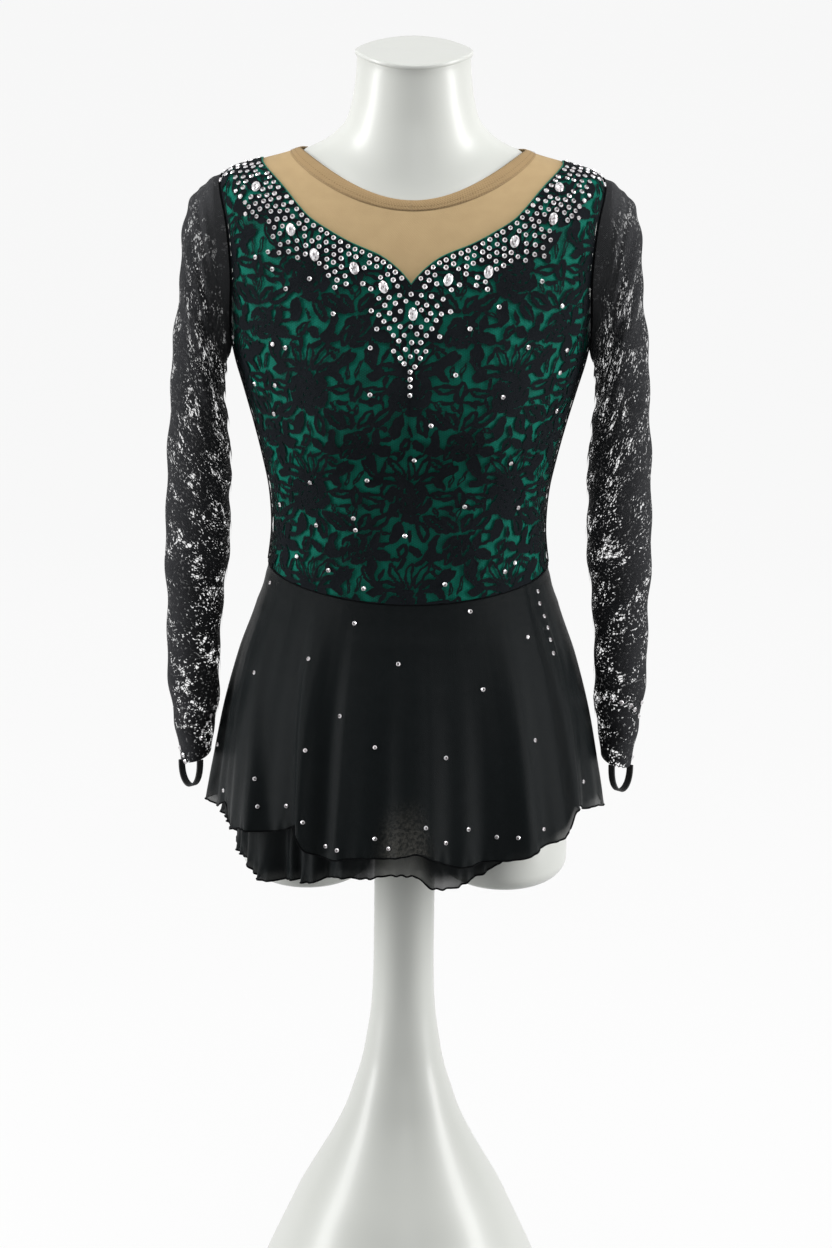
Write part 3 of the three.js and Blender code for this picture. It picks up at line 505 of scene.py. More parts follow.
def noise_value(tree, place, scale, detail=2.0):
    """Noise read at a place; the scale is in waves a metre."""
    node = tree.nodes.new("ShaderNodeTexNoise")
    node.inputs["Scale"].default_value = scale
    node.inputs["Detail"].default_value = detail
    tree.links.new(place, node.inputs["Vector"])
    return node.outputs["Fac"]


def cell_edge(tree, place, scale):
    """Random cells: the distance from a place to the nearest edge between two."""
    node = tree.nodes.new("ShaderNodeTexVoronoi")
    node.feature = "DISTANCE_TO_EDGE"
    node.inputs["Scale"].default_value = scale
    tree.links.new(place, node.inputs["Vector"])
    return node.outputs["Distance"]


def kept_value(tree, name):
    """The number of that name that is kept at a piece's points or faces."""
    node = tree.nodes.new("ShaderNodeAttribute")
    node.attribute_name = name
    return node.outputs["Fac"]


def object_place(tree):
    """A place in the object's own coordinates, in metres."""
    return tree.nodes.new("ShaderNodeTexCoord").outputs["Object"]


def new_group(name, inputs, outputs):
    """A node group with its named inputs and outputs, and the nodes that hold them."""
    group = bpy.data.node_groups.new(name, "ShaderNodeTree")
    for way, sockets in (("INPUT", inputs), ("OUTPUT", outputs)):
        for socket, kind in sockets:
            group.interface.new_socket(name=socket, in_out=way, socket_type="NodeSocket" + kind)
    return group, group.nodes.new("NodeGroupInput"), group.nodes.new("NodeGroupOutput")


print("materials before ours:", len(bpy.data.materials))

# %% [markdown]
# A thread grain is two crossed rows of waves with some noise in them. All cloths
# share it as one node group, with their own thread count and fuzz.

# %% Thread grain
WHOLE_TURN = 6.2832


def thread_group():
    """Shared grain: two crossed rows of threads, broken by fine noise. It puts out
    a height for bumps and a shade from 0 to 1 for colour."""
    group, source, target = new_group(
        "ThreadGrain", (("Cloth", "Vector"), ("Threads per metre", "Float"), ("Fuzz", "Float")),
        (("Height", "Float"), ("Shade", "Float")))
    split = group.nodes.new("ShaderNodeSeparateXYZ")
    group.links.new(source.outputs["Cloth"], split.inputs[0])
    turns = math_node(group, "MULTIPLY", source.outputs["Threads per metre"], WHOLE_TURN)
    waves = [math_node(group, "SINE", math_node(group, "MULTIPLY", split.outputs[axis], turns))
             for axis in (0, 1)]
    crossed = math_node(group, "MULTIPLY", waves[0], waves[1])
    noise = group.nodes.new("ShaderNodeTexNoise")
    noise.inputs["Detail"].default_value = 3
    group.links.new(source.outputs["Cloth"], noise.inputs["Vector"])
    group.links.new(source.outputs["Threads per metre"], noise.inputs["Scale"])
    fuzz = math_node(group, "MULTIPLY", noise.outputs["Fac"], source.outputs["Fuzz"])
    height = math_node(group, "ADD", math_node(group, "MULTIPLY", crossed, 0.5), fuzz)
    group.links.new(height, target.inputs["Height"])
    blotch = noise_value(group, source.outputs["Cloth"], 60)
    shade = math_node(group, "ADD", math_node(group, "MULTIPLY", height, 0.35),
                      math_node(group, "MULTIPLY", blotch, 0.6))
    group.links.new(shade, target.inputs["Shade"])
    return group


THREAD_GRAIN = thread_group()


def place_grain(tree, source, threads, fuzz):
    """The shared grain placed in a material, fed by the cloth's own UV or place."""
    node = tree.nodes.new("ShaderNodeGroup")
    node.node_tree = THREAD_GRAIN
    tree.links.new(source, node.inputs["Cloth"])
    node.inputs["Threads per metre"].default_value = threads
    node.inputs["Fuzz"].default_value = fuzz
    return node


print("nodes in the shared grain:", len(THREAD_GRAIN.nodes))


def add_bump(tree, shader, height, strength, distance):
    """A Bump node, its distance in metres, that feeds the shader's normal."""
    node = tree.nodes.new("ShaderNodeBump")
    node.inputs["Strength"].default_value = strength
    node.inputs["Distance"].default_value = distance
    tree.links.new(height, node.inputs["Height"])
    tree.links.new(node.outputs["Normal"], shader.inputs["Normal"])


def cloth_coordinates(nodes):
    """The piece's UV map, in metres of cloth."""
    node = nodes.new("ShaderNodeUVMap")
    node.uv_map = "cloth"
    return node.outputs["UV"]


# %% Woven and knitted finishes
def cloth_material(name, dark, light, roughness, threads, fuzz, bump, specular=0.3):
    """Cloth whose colour runs between a dark and a light tone with its grain."""
    material, nodes, links, shader = new_material(name, roughness, light)
    tree = material.node_tree
    grain = place_grain(tree, cloth_coordinates(nodes), threads, fuzz)
    links.new(mix_colours(tree, grain.outputs["Shade"], dark, light), shader.inputs["Base Color"])
    shader.inputs["Specular IOR Level"].default_value = specular
    add_bump(tree, shader, grain.outputs["Height"], 0.6, bump)
    return material


# dark tone, light tone, roughness, threads a metre, fuzz, bump in metres, specular level
green_lining = cloth_material("GreenLining", (0.001, 0.13, 0.088), (0.002, 0.26, 0.18),
                              0.55, 900, 0.5, 0.0003, 0.08)
nude_mesh = cloth_material("NudeMesh", (0.45, 0.315, 0.16), (0.57, 0.41, 0.22),
                           0.7, 700, 0.6, 0.0003)
nude_binding = cloth_material("NudeBinding", (0.33, 0.22, 0.105), (0.44, 0.3, 0.15),
                              0.65, 500, 0.5, 0.0004)
black_elastic = cloth_material("BlackElastic", (0.008, 0.008, 0.0085), (0.026, 0.0265, 0.027),
                               0.7, 900, 0.8, 0.0004)
seam_thread = cloth_material("SeamThread", (0.001, 0.0012, 0.0015), (0.004, 0.0045, 0.005),
                             0.7, 1200, 0.6, 0.0002, 0.03)
green_thread = cloth_material("GreenThread", (0.004, 0.12, 0.075), (0.01, 0.22, 0.14),
                              0.6, 900, 0.5, 0.0002)
nude_thread = cloth_material("NudeThread", (0.17, 0.11, 0.05), (0.24, 0.16, 0.08),
                             0.7, 900, 0.5, 0.0002)
print("cloth finishes:", len(bpy.data.materials))

# %% [markdown]
# The white form is a gel-coated moulding: a smooth, satin gloss with a faint
# unevenness that softens the reflections of the lamps.

# %% Gloss white
form_gloss, nodes, links, shader = new_material("FormGloss", 0.36, (0.62, 0.63, 0.595))
shader.inputs["Coat Weight"].default_value = 0.1
shader.inputs["Coat Roughness"].default_value = 0.14
ripple = noise_value(form_gloss.node_tree, object_place(form_gloss.node_tree), 7)
add_bump(form_gloss.node_tree, shader, ripple, 0.15, 0.004)
tone = mix_colours(form_gloss.node_tree, ripple, (0.61, 0.62, 0.585), (0.65, 0.66, 0.625))
links.new(tone, shader.inputs["Base Color"])
print("gloss:", form_gloss.name)

# %% [markdown]
# ## Form and stand
# The form is one smooth moulding with a capped neck and two short thighs, on a
# column that flares like a trumpet. A lathe makes the stand: a profile turned
# round the middle. The torso is the table above, drawn in under the cloth.

# %% Form
FORM_INSET = 2.9
FORM_SIDES = 128


def closed_rings(rings):
    """Points and faces of a solid through rings of points, closed by flat fans."""
    rings = np.asarray(rings, float)
    count = rings.shape[1]
    points = np.vstack([rings.reshape(-1, 3), rings[0].mean(axis=0), rings[-1].mean(axis=0)])
    quads = grid_faces(len(rings), count, closed=True)
    side = np.arange(count)
    after = (side + 1) % count
    low, high = len(points) - 2, len(points) - 1
    top = (len(rings) - 1) * count
    fans = np.vstack([np.stack([np.full(count, low), after, side], 1),
                      np.stack([np.full(count, high), top + side, top + after], 1)])
    return points, quads, fans


def join_shells(shells):
    """Several closed shells in one list of points and faces."""
    points, faces, start = [], [], 0
    for places, quads, fans in shells:
        points.append(places)
        faces += (quads + start).tolist() + (fans + start).tolist()
        start += len(places)
    return np.vstack(points), faces


NECK_END, FORM_RINGS = 25.6, 180
turns = np.arange(FORM_SIDES) * 360 / FORM_SIDES
form_levels = np.linspace(0, NECK_END, FORM_RINGS)
# Under the cloth the form is drawn in, and above the binding it has its full size
inset = -FORM_INSET * np.clip((BINDING_TOP + 0.3 - form_levels) / 0.6, 0, 1)
torso_rings = body_point(turns[None, :], form_levels[:, None], inset[:, None])
# The cap is a flat lid that stands a millimetre past the neck, with a crisp edge
cap_ring = torso_rings[-1]
cap_middle = cap_ring.mean(axis=0)
CAP_SINK = 0.4
cap = []
for share, lift in ((1.0, 0.7), (1.02, 1.1), (1.022, 4.2), (1.01, 4.8), (0.97, 5.0), (0.6, 4.9),
                    (0.3, 4.9)):
    ring = cap_middle + (cap_ring - cap_middle) * share
    ring[:, 2] += lift - CAP_SINK
    cap.append(ring)
torso_shell = closed_rings(np.concatenate([torso_rings, np.array(cap)]))

STUB_X, STUB_WIDE, STUB_DEEP, STUB_LOW, STUB_HIGH, STUB_ROUND = 88.5, 59, 77, 481, 640, 14


def thigh_shell(side):
    """Upright oval with a rounded bottom edge: the inset falls as 1 - sin while the
    height rises as 1 - cos."""
    bend = np.linspace(0, np.pi / 2, 9)
    inset = np.concatenate([[STUB_WIDE * 0.5], STUB_ROUND * (1 - np.sin(bend)), [0]])
    height = np.concatenate([[STUB_LOW], STUB_LOW + STUB_ROUND * (1 - np.cos(bend)), [STUB_HIGH]])
    turn = np.linspace(0, 2 * np.pi, 96, endpoint=False)
    x = side * STUB_X + (STUB_WIDE - inset[:, None]) * np.sin(turn)
    y = -(STUB_DEEP - inset[:, None]) * np.cos(turn)
    return closed_rings(np.stack([x, y, height[:, None] + 0 * x], axis=-1))


form_points, form_faces = join_shells([torso_shell, thigh_shell(-1), thigh_shell(1)])
form_body = add_piece("form_body", form_points, form_faces, form_gloss)
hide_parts("form_torso")
print("form faces", len(form_faces))

# %% Stand
STAND_PROFILE = np.array([
    [153, 0], [153, 8], [147, 30], [139, 57], [131, 82], [123, 102], [106, 140], [94, 166],
    [80, 191], [66, 216], [54, 241], [45.5, 266], [38, 291], [33.5, 316], [29.5, 345],
    [27.9, 380], [27.6, 420],
])
FOOT_RING, COLUMN_RADIUS, COLUMN_TOP, STAND_SIDES = 150, 27.6, 559.7, 144
profile = between_rows(STAND_PROFILE, np.linspace(0, len(STAND_PROFILE) - 1, 150))
profile = np.vstack([[FOOT_RING, 0], profile, [COLUMN_RADIUS, 480], [COLUMN_RADIUS, COLUMN_TOP]])
turn = np.linspace(0, 2 * np.pi, STAND_SIDES, endpoint=False)
stand_rings = np.stack([profile[:, :1] * np.sin(turn), -profile[:, :1] * np.cos(turn),
                        profile[:, 1:] + 0 * turn], axis=-1)
points, quads, fans = closed_rings(stand_rings)
stand_column = add_piece("stand_column", points, quads.tolist() + fans.tolist(), form_gloss)
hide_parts("stand")
print("stand faces", len(quads) + len(fans))

# %% [markdown]
# ## Green lining
# Under the lace lies a closed lining of stretch green, cut to the same panels. It
# shows through the lace as the colour of the bodice, so it is a piece of its own
# and not a colour painted under the lace.

# %% Lining
def cloth_panel(name, points, flat, material, node, which=None):
    """A panel from its grid, with its flat places as UV."""
    rows, columns = points.shape[:2]
    faces, used = grid_faces(rows, columns), np.arange(rows * columns)
    if which:
        faces, used = panel_faces(which, rows, columns)
    piece = add_piece(name, points.reshape(-1, 3)[used], faces, material)
    add_uv(piece, flat.reshape(-1, 2)[used])
    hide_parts(*node)
    print(name, "area", round(cloth_area(points), 4), "triangles", 2 * len(faces))
    return piece, used


LINING_ROWS, LINING_HALF = 127, 60


def add_lining(which):
    """The lining of one panel, a little coarser than the lace and closer to the form."""
    angle, level = whole_panel(which, LINING_ROWS, LINING_HALF)
    piece, _ = cloth_panel(f"lining_{which}", body_point(angle, level, LINING_OUT),
                           flat_place(which, angle, level), green_lining,
                           [f"bodice_lining_{which}"], which)
    return piece


lining_front = add_lining("front")
lining_back = add_lining("back")

# %% [markdown]
# ## Lace flowers and leaves
# Floral stretch lace is knitted: solid flowers and leaves in a fine net. We draw
# one repeat, 90 mm by 100 mm, as distances: how far a point is from the edge of the
# nearest leaf or flower. A leaf is what two circles share, a rose is a scalloped
# ring with broken rings of petals inside. The repeat wraps round at its edges.

# %% Lace drawing
REPEAT_WIDE, REPEAT_HIGH = 90.0, 100.0
# middle across, middle up, radius, petals, turn
ROSES = [(0, 0, 20.5, 6, 10), (44, -46, 15, 5, 40)]
# foot across, foot up, turn from upright, length, width, slit
LEAVES = [
    (-4, 17, -74, 30, 12.5, 2.6), (-2, 19, -34, 29, 10, 3.0), (1, 19, 3, 27, 9, 3.0),
    (4, 19, 33, 30, 10.5, 3.2), (6, 16, 68, 30, 12.5, 2.6), (-13, -12, -122, 27, 14, 2.2),
    (13, -14, 124, 27, 14, 2.0), (-7, -18, -164, 25, 12.5, 0), (7, -17, 158, 25, 12, 2.0),
    (17, 4, 84, 27, 11, 2.2), (-17, 2, -84, 25, 10, 2.2), (43, -31, -36, 24, 11, 2.0),
    (45, -31, 34, 23, 11, 2.0), (31, -50, -98, 19, 11, 0), (57, -48, 98, 18, 11, 0),
    (38, -60, -146, 21, 11, 1.8), (50, -60, 148, 22, 11, 1.8), (43, -8, 4, 21, 13, 2.0),
    (33, 12, -52, 17, 9, 0), (-31, 29, -6, 19, 11, 0), (29, 27, 62, 17, 9, 0),
    (52, 14, 70, 15, 9, 0), (26, -30, -158, 17, 8, 0), (-27, -28, -172, 18, 9, 0),
    (31, 41, 24, 17, 9, 1.6), (-15, 45, -64, 18, 10, 0), (13, 46, 46, 17, 9, 0),
    (0, -38, -150, 17, 10, 1.6), (2, -40, 140, 16, 9, 0), (-24, 14, -20, 13, 7, 0),
    (22, 16, 24, 13, 7, 0),
]

FAR = 50.0
print("roses", len(ROSES), "leaves", len(LEAVES))

# %% [markdown]
# The distance of one motif is worked out at a time, and the lace keeps the smallest.
# A distance can be read at any size, so the edges stay crisp where a picture blurs.

# %% Distances from leaves and roses
def in_repeat(across, up):
    """Distances from a motif's middle, wrapped round at the repeat's edges."""
    return ((across + REPEAT_WIDE / 2) % REPEAT_WIDE - REPEAT_WIDE / 2,
            (up + REPEAT_HIGH / 2) % REPEAT_HIGH - REPEAT_HIGH / 2)


def two_circles(along, across, half, wide):
    """Distance from the edge of the shape that two equal circles share: beyond the
    points it is the distance to the point, elsewhere to the circle."""
    radius = (half**2 + wide**2) / (2 * wide)
    shift = radius - wide
    point = np.hypot(along - half, across)
    side = np.hypot(along, across + shift) - radius
    return np.where((along - half) * shift > across * half, point, side)


def leaf(u, v, foot_u, foot_v, turn, length, width, slit):
    """Edge distance of a leaf, and of the open slit along its middle."""
    sine, cosine = np.sin(np.radians(turn)), np.cos(np.radians(turn))
    du, dv = in_repeat(u - foot_u - sine * length / 2, v - foot_v - cosine * length / 2)
    along = np.abs(du * sine + dv * cosine)
    across = np.abs(du * cosine - dv * sine)
    edge = two_circles(along, across, length / 2, width / 2)
    if not slit:
        return edge, np.full(edge.shape, FAR)
    return edge, two_circles(along, across, length * 0.33, slit / 2)


def rose(u, v, middle_u, middle_v, radius, petals, turn):
    """Edge distance of a scalloped disc, and of the broken rings between petals."""
    du, dv = in_repeat(u - middle_u, v - middle_v)
    far = np.hypot(du, dv)
    round_it = np.arctan2(du, dv) + np.radians(turn)
    edge = far - radius * (0.86 + 0.14 * np.abs(np.cos(round_it * petals / 2)))
    lines = []
    for share, count, shift, width in ((0.66, petals, 0.5, 1.5), (0.42, petals - 1, 0.2, 1.3),
                                       (0.2, 3, 0.0, 1.2)):
        ring = radius * share * (0.86 + 0.2 * np.abs(np.cos(round_it * count / 2 + shift * np.pi)))
        broken = np.cos(round_it * count + shift * 3) > -0.35
        lines.append(np.where(broken, np.abs(far - ring) - width / 2, 9.0))
    outer = (far > 0.7 * radius) & (far < 0.97 * radius)
    vein = np.abs(np.cos(round_it * petals / 2)) * radius / petals * 1.6 - 0.7
    lines.append(np.where(outer, vein, 9.0))
    return edge, np.minimum.reduce(lines)


print("middle of a rose lies", round(float(-rose(0.0, 0.0, *ROSES[0])[0]), 1), "mm inside it")

# %% [markdown]
# The wide gaps that are left get small leaves, each turned by a seeded random number,
# so that the lace is evenly full and comes out the same at each run.

# %% Small leaves and the whole drawing
def fill_gaps(count, width, rng):
    """More small leaves: each lies across the middle of the widest gap that is left
    in the repeat, at a turn of its own, and reaches just past the gap's edges."""
    across, up = np.meshgrid(np.arange(REPEAT_WIDE), np.arange(REPEAT_HIGH))
    edge = np.minimum.reduce([rose(across, up, *motif)[0] for motif in ROSES]
                             + [leaf(across, up, *motif)[0] for motif in LEAVES])
    added = []
    for number in range(count):
        row, column = np.unravel_index(np.argmax(edge), edge.shape)
        length, turn = 2 * edge[row, column] + 4.5, rng.uniform(0, 180)
        foot = (column - np.sin(np.radians(turn)) * length / 2,
                row - np.cos(np.radians(turn)) * length / 2)
        added.append((*foot, turn, length, width, 1.1 if number % 3 == 0 else 0))
        edge = np.minimum(edge, leaf(across, up, *added[-1])[0])
    print("small leaves", count, "widest gap left", round(2 * float(edge.max()), 1), "mm")
    return added


SMALL_LEAVES, SMALL_LEAF_WIDE, LEAF_SEED = 20, 4.8, 11
LEAVES += fill_gaps(SMALL_LEAVES, SMALL_LEAF_WIDE, np.random.default_rng(LEAF_SEED))


def draw_lace(flat, scale=1.0):
    """Edge and slit distances in millimetres at places on the flat cloth. Small
    waves shake the outlines, as the knitting does. A later leaf covers slits."""
    u, v = flat[..., 0] / scale, flat[..., 1] / scale
    wu = u + 1.1 * np.sin(v * 0.23 + 0.6) + 0.6 * np.sin(u * 0.61 + v * 0.37)
    wu += 0.35 * np.sin(u * 1.3 - v * 1.1)
    wv = v + np.sin(u * 0.21 + 1.1) + 0.6 * np.sin(u * 0.43 - v * 0.59 + 2)
    wv += 0.35 * np.sin(u * 1.1 + v * 1.4)
    edge = np.full(u.shape, FAR)
    slit = np.full(u.shape, FAR)
    for motif in ROSES:
        outline, lines = rose(wu, wv, *motif)
        edge, slit = np.minimum(edge, outline), np.minimum(slit, lines)
    for foot_u, foot_v, turn, length, width, open_slit in LEAVES:
        outline, line = leaf(wu, wv, foot_u, foot_v, turn, length, width * 0.9, open_slit * 1.3)
        slit = np.where(outline < -0.3, line, slit)
        edge = np.minimum(edge, outline)
    return edge * scale, slit * scale


front_edge, front_slit = draw_lace(front_flat)
print("share of cloth in the lace", round(float((front_edge < 0).mean()), 2))

# %% [markdown]
# The lace material opens where the distance says net. The net itself is a fine
# honeycomb, too small to be geometry: three rows of waves at 60 degrees leave thin
# threads between round holes.

# %% Lace finish
def net_group():
    """Fine honeycomb: the sum of three waves at 60 degrees is low along threads."""
    group, source, target = new_group("FineNet", (("Cloth", "Vector"), ("Mesh per metre", "Float")),
                                      (("Thread", "Float"),))
    split = group.nodes.new("ShaderNodeSeparateXYZ")
    group.links.new(source.outputs["Cloth"], split.inputs[0])
    turns = math_node(group, "MULTIPLY", source.outputs["Mesh per metre"], WHOLE_TURN)
    waves = []
    for lean in (0, 60, 120):
        across = math_node(group, "MULTIPLY", split.outputs[0], float(np.cos(np.radians(lean))))
        up = math_node(group, "MULTIPLY", split.outputs[1], float(np.sin(np.radians(lean))))
        line = math_node(group, "MULTIPLY", math_node(group, "ADD", across, up), turns)
        waves.append(math_node(group, "COSINE", line))
    total = math_node(group, "ADD", math_node(group, "ADD", waves[0], waves[1]), waves[2])
    thread = ramp_value(group, total, -0.9, -0.5, 1.0, 0.0)
    group.links.new(thread, target.inputs["Thread"])
    return group


FINE_NET = net_group()


def lace_material(name, mesh_per_metre, net_share, open_share, slit_share, dark, light):
    """Solid where the edge distance is below nought, net elsewhere and thinner in the
    middle of the gaps, thin threads in the slits, and a raised rim at each edge."""
    material, nodes, links, shader = new_material(name, 0.75, light)
    tree = material.node_tree
    cloth = cloth_coordinates(nodes)
    edge = kept_value(tree, "edge")
    solid = ramp_value(tree, edge, -0.5, 0.35, 1.0, 0.0)
    slit = ramp_value(tree, kept_value(tree, "slit"), -0.45, 0.45, slit_share, 0.0)
    solid = math_node(tree, "MULTIPLY", solid, math_node(tree, "SUBTRACT", 1.0, slit))
    net = nodes.new("ShaderNodeGroup")
    net.node_tree = FINE_NET
    links.new(cloth, net.inputs["Cloth"])
    net.inputs["Mesh per metre"].default_value = mesh_per_metre
    thickness = ramp_value(tree, edge, 0.4, 2.0, net_share, open_share)
    veiled = ramp_value(tree, noise_value(tree, cloth, 38), 0.46, 0.7, 0.0, 0.26)
    threads = math_node(tree, "MULTIPLY_ADD", net.outputs["Thread"], 0.3,
                        math_node(tree, "SUBTRACT", thickness, 0.1))
    threads = math_node(tree, "ADD", threads, veiled)
    alpha = math_node(tree, "MAXIMUM", solid, threads)
    links.new(alpha, shader.inputs["Alpha"])
    grain = place_grain(tree, cloth, 650, 1.0)
    tone = mix_colours(tree, grain.outputs["Shade"], dark, light)
    links.new(tone, shader.inputs["Base Color"])
    shader.inputs["Specular IOR Level"].default_value = 0.06
    rim = ramp_value(tree, edge, -2.2, -0.4, 0.0, 1.0)
    height = math_node(tree, "ADD", math_node(tree, "MULTIPLY", rim, 0.6), grain.outputs["Height"])
    add_bump(tree, shader, height, 0.7, 0.0005)
    return material


black_lace = lace_material("BlackLace", mesh_per_metre=520, net_share=0.14, open_share=0.08,
                           slit_share=0.9, dark=(0.003, 0.0045, 0.006),
                           light=(0.011, 0.0135, 0.017))
print("lace over the lining:", black_lace.name)

# %% [markdown]
# On the arms there is no lining, so the light behind comes through each hole. The
# same drawing is read, and finer cells and dots break its gaps into flecks.

# %% Sleeve finish
def sleeve_material(name, dark, light):
    """The same lace unlined, so its gaps show as light flecks. A gap is broken into
    small cells by thicker threads, a slit into dots, and few gaps stay wide open.
    Toward the shoulder its colour is lightened, a painted sheen."""
    material, nodes, links, shader = new_material(name, 0.75, light)
    tree = material.node_tree
    cloth = cloth_coordinates(nodes)
    edge, dense_and_sheen = kept_value(tree, "edge"), kept_value(tree, "dense_and_sheen")
    cell = ramp_value(tree, cell_edge(tree, cloth, 270), 0.06, 0.15, 0.0, 1.0)
    patches = noise_value(tree, cloth, 36, 1.5)
    patch = ramp_value(tree, patches, 0.525, 0.55, 0.0, 1.0)
    twig = ramp_value(tree, cell_edge(tree, cloth, 95), 0.03, 0.07, 1.0, 0.0)
    dotted = ramp_value(tree, noise_value(tree, cloth, 420), 0.57, 0.62, 0.0, 1.0)
    gap = math_node(tree, "MULTIPLY", ramp_value(tree, edge, 0.1, 0.7, 0.0, 1.0), cell)
    gap = math_node(tree, "MULTIPLY", gap, patch)
    slit = ramp_value(tree, kept_value(tree, "slit"), -0.5, 0.4, 1.0, 0.0)
    slit = math_node(tree, "MULTIPLY", slit, dotted)
    rim = math_node(tree, "ABSOLUTE", math_node(tree, "ADD", edge, 0.6))
    rim = math_node(tree, "MULTIPLY", ramp_value(tree, rim, 0.15, 0.5, 0.6, 0.0), dotted)
    broken = ramp_value(tree, patches, 0.45, 0.5, 0.12, 1.0)
    fine = math_node(tree, "MAXIMUM", math_node(tree, "MAXIMUM", slit, rim),
                     math_node(tree, "MULTIPLY", twig, dotted))
    opening = math_node(tree, "MAXIMUM", gap, math_node(tree, "MULTIPLY", fine, broken))
    thinned = math_node(tree, "MAXIMUM", math_node(tree, "MULTIPLY_ADD", dense_and_sheen, -0.5, 1.0), 0.0)
    alpha = math_node(tree, "SUBTRACT", 1.0, math_node(tree, "MULTIPLY", opening, thinned))
    # The far side of the tube is a net too, so the light behind comes through it
    inside = nodes.new("ShaderNodeNewGeometry").outputs["Backfacing"]
    open_side = math_node(tree, "MAXIMUM", math_node(tree, "SUBTRACT", 1.0, dense_and_sheen), 0.0)
    far_side = math_node(tree, "MULTIPLY_ADD", math_node(tree, "MULTIPLY", inside, open_side),
                         -0.95, 1.0)
    links.new(math_node(tree, "MULTIPLY", alpha, far_side), shader.inputs["Alpha"])
    grain = place_grain(tree, cloth, 650, 1.0)
    # Painted sheen: where the threads lie close, toward the shoulder, the colour is
    # lightened in patches and thin lines, standing in for the light they catch
    painted_sheen = math_node(tree, "MULTIPLY", math_node(tree, "MINIMUM", dense_and_sheen, 1.0),
                      math_node(tree, "MAXIMUM", opening, 0.3))
    tone = mix_colours(tree, grain.outputs["Shade"], dark, light)
    links.new(mix_colours(tree, painted_sheen, tone, (0.09, 0.091, 0.095)), shader.inputs["Base Color"])
    shader.inputs["Specular IOR Level"].default_value = 0.1
    add_bump(tree, shader, grain.outputs["Height"], 0.7, 0.0005)
    return material


sleeve_lace = sleeve_material("SleeveLace", (0.008, 0.008, 0.0095), (0.03, 0.031, 0.034))
print("lace of the sleeves:", sleeve_lace.name)

# %% [markdown]
# The lace panels are laid over the lining with the drawing kept at their points.

# %% Bodice lace
SEAM_COLUMNS, CLOSED_LACE = 4, -3.0


def lace_panel(name, points, flat, material, node, scale=1.0, which=None):
    """A panel with the drawn lace kept at its points."""
    piece, used = cloth_panel(name, points, flat, material, node,
                              which)
    edge, slit = draw_lace(flat, scale)
    if which:
        # The seam allowance along the side and the armhole is closed
        for columns in (slice(0, SEAM_COLUMNS), slice(-SEAM_COLUMNS, None)):
            edge[:, columns] = CLOSED_LACE
            slit[:, columns] = -CLOSED_LACE
    add_value(piece, "edge", edge.ravel()[used])
    add_value(piece, "slit", slit.ravel()[used])
    return piece


lace_front = lace_panel("lace_front", front_cloth, front_flat, black_lace, ["bodice_lace_front"],
                        which="front")
lace_back = lace_panel("lace_back", back_cloth, back_flat, black_lace, ["bodice_lace_back"],
                       which="back")

# %% [markdown]
# ## Sleeves
# Each sleeve is one piece of lace sewn into a tube, unlined, hanging empty from
# the armhole. A table gives the outer and inner line of the arm and its depth.
# Soft creases run across it, since an empty sleeve keeps small folds.

# %% Sleeves
ARM = np.array([
    # outer_x, outer_z, inner_x, inner_z, half depth, middle y
    [173.5, 1112, 159, 956, 44, 0], [182.5, 1105, 161, 952, 48, 0], [191.5, 1095, 163, 946, 50, -1],
    [199.5, 1072, 164, 936, 50, -2], [203, 1030, 163, 915, 49, -3], [207, 985, 161, 888, 48, -4],
    [211, 935, 159, 858, 46, -4], [214.5, 880, 158.5, 826, 44, -4], [216, 822, 160, 788, 42, -3],
    [217, 765, 164, 745, 39, -1], [217, 710, 168, 700, 36, 2], [215, 655, 170, 655, 33, 5],
    [210, 612, 173, 616, 31, 8], [205, 580, 177.5, 587, 29, 10],
])
ARM_SQUARE = 2.1
SLEEVE_ROWS, ARMHOLE_ROWS, SLEEVE_COLUMNS = 360, 8, 150


def arm_point(turn, down):
    """Oval section: turn 0 is the outer line, and it goes round over the front."""
    turn, down = np.broadcast_arrays(np.asarray(turn, float), np.asarray(down, float))
    cosine, sine = np.cos(turn * 2 * np.pi), np.sin(turn * 2 * np.pi)
    reach = ring_reach(sine, cosine, ARM_SQUARE)
    outer_x, outer_z, inner_x, inner_z, depth, middle = np.moveaxis(
        between_rows(ARM, down * (len(ARM) - 1)), -1, 0)
    along = (1 + cosine * reach) / 2
    return np.stack([inner_x + (outer_x - inner_x) * along, middle - depth * sine * reach,
                     inner_z + (outer_z - inner_z) * along], axis=-1)


def armhole_point(turn):
    """Round the armhole from the top over the front to the armpit and back."""
    ahead_angle, ahead_level = front_armhole(1 - turn * 2)
    behind_angle, behind_level = back_armhole(turn * 2 - 1)
    angle = np.where(turn <= 0.5, ahead_angle, behind_angle)
    level = np.where(turn <= 0.5, ahead_level, behind_level)
    return body_point(angle, level, ARMHOLE_OUT)


def sleeve_points(side):
    """Rows from the cuff to the armhole. The seam is under the arm, so columns run
    from half a turn behind to half a turn in front."""
    turn = np.linspace(-0.5, 0.5, SLEEVE_COLUMNS + 1)
    whole_turn = turn % 1.0
    down = np.linspace(1, 0, SLEEVE_ROWS)
    rings = arm_point(whole_turn[None, :], down[:, None])
    crease = (0.6 * np.sin(down * 47 + 0.8)[:, None] * np.cos(2 * np.pi * (turn + 0.1))[None, :]
              + 0.8 * np.sin(down[:, None] * 83 + turn[None, :] * 9)
              + 0.7 * np.sin(down[:, None] * 29 - turn[None, :] * 13 + 2))
    fade = np.clip(np.minimum(down * 8, (1 - down) * 12), 0, 1)[:, None]
    rings = rings - grid_normals(rings) * (crease * fade)[..., None]
    edge = armhole_point(whole_turn)
    share = np.linspace(0, 1, ARMHOLE_ROWS + 1)[1:, None, None]
    last = edge + (rings[-1] - edge) * 0.02
    rings = np.concatenate([rings, rings[-1] + (last - rings[-1]) * share])
    rings = rings * [side, 1, 1]
    return rings[:, ::-1] if side > 0 else rings


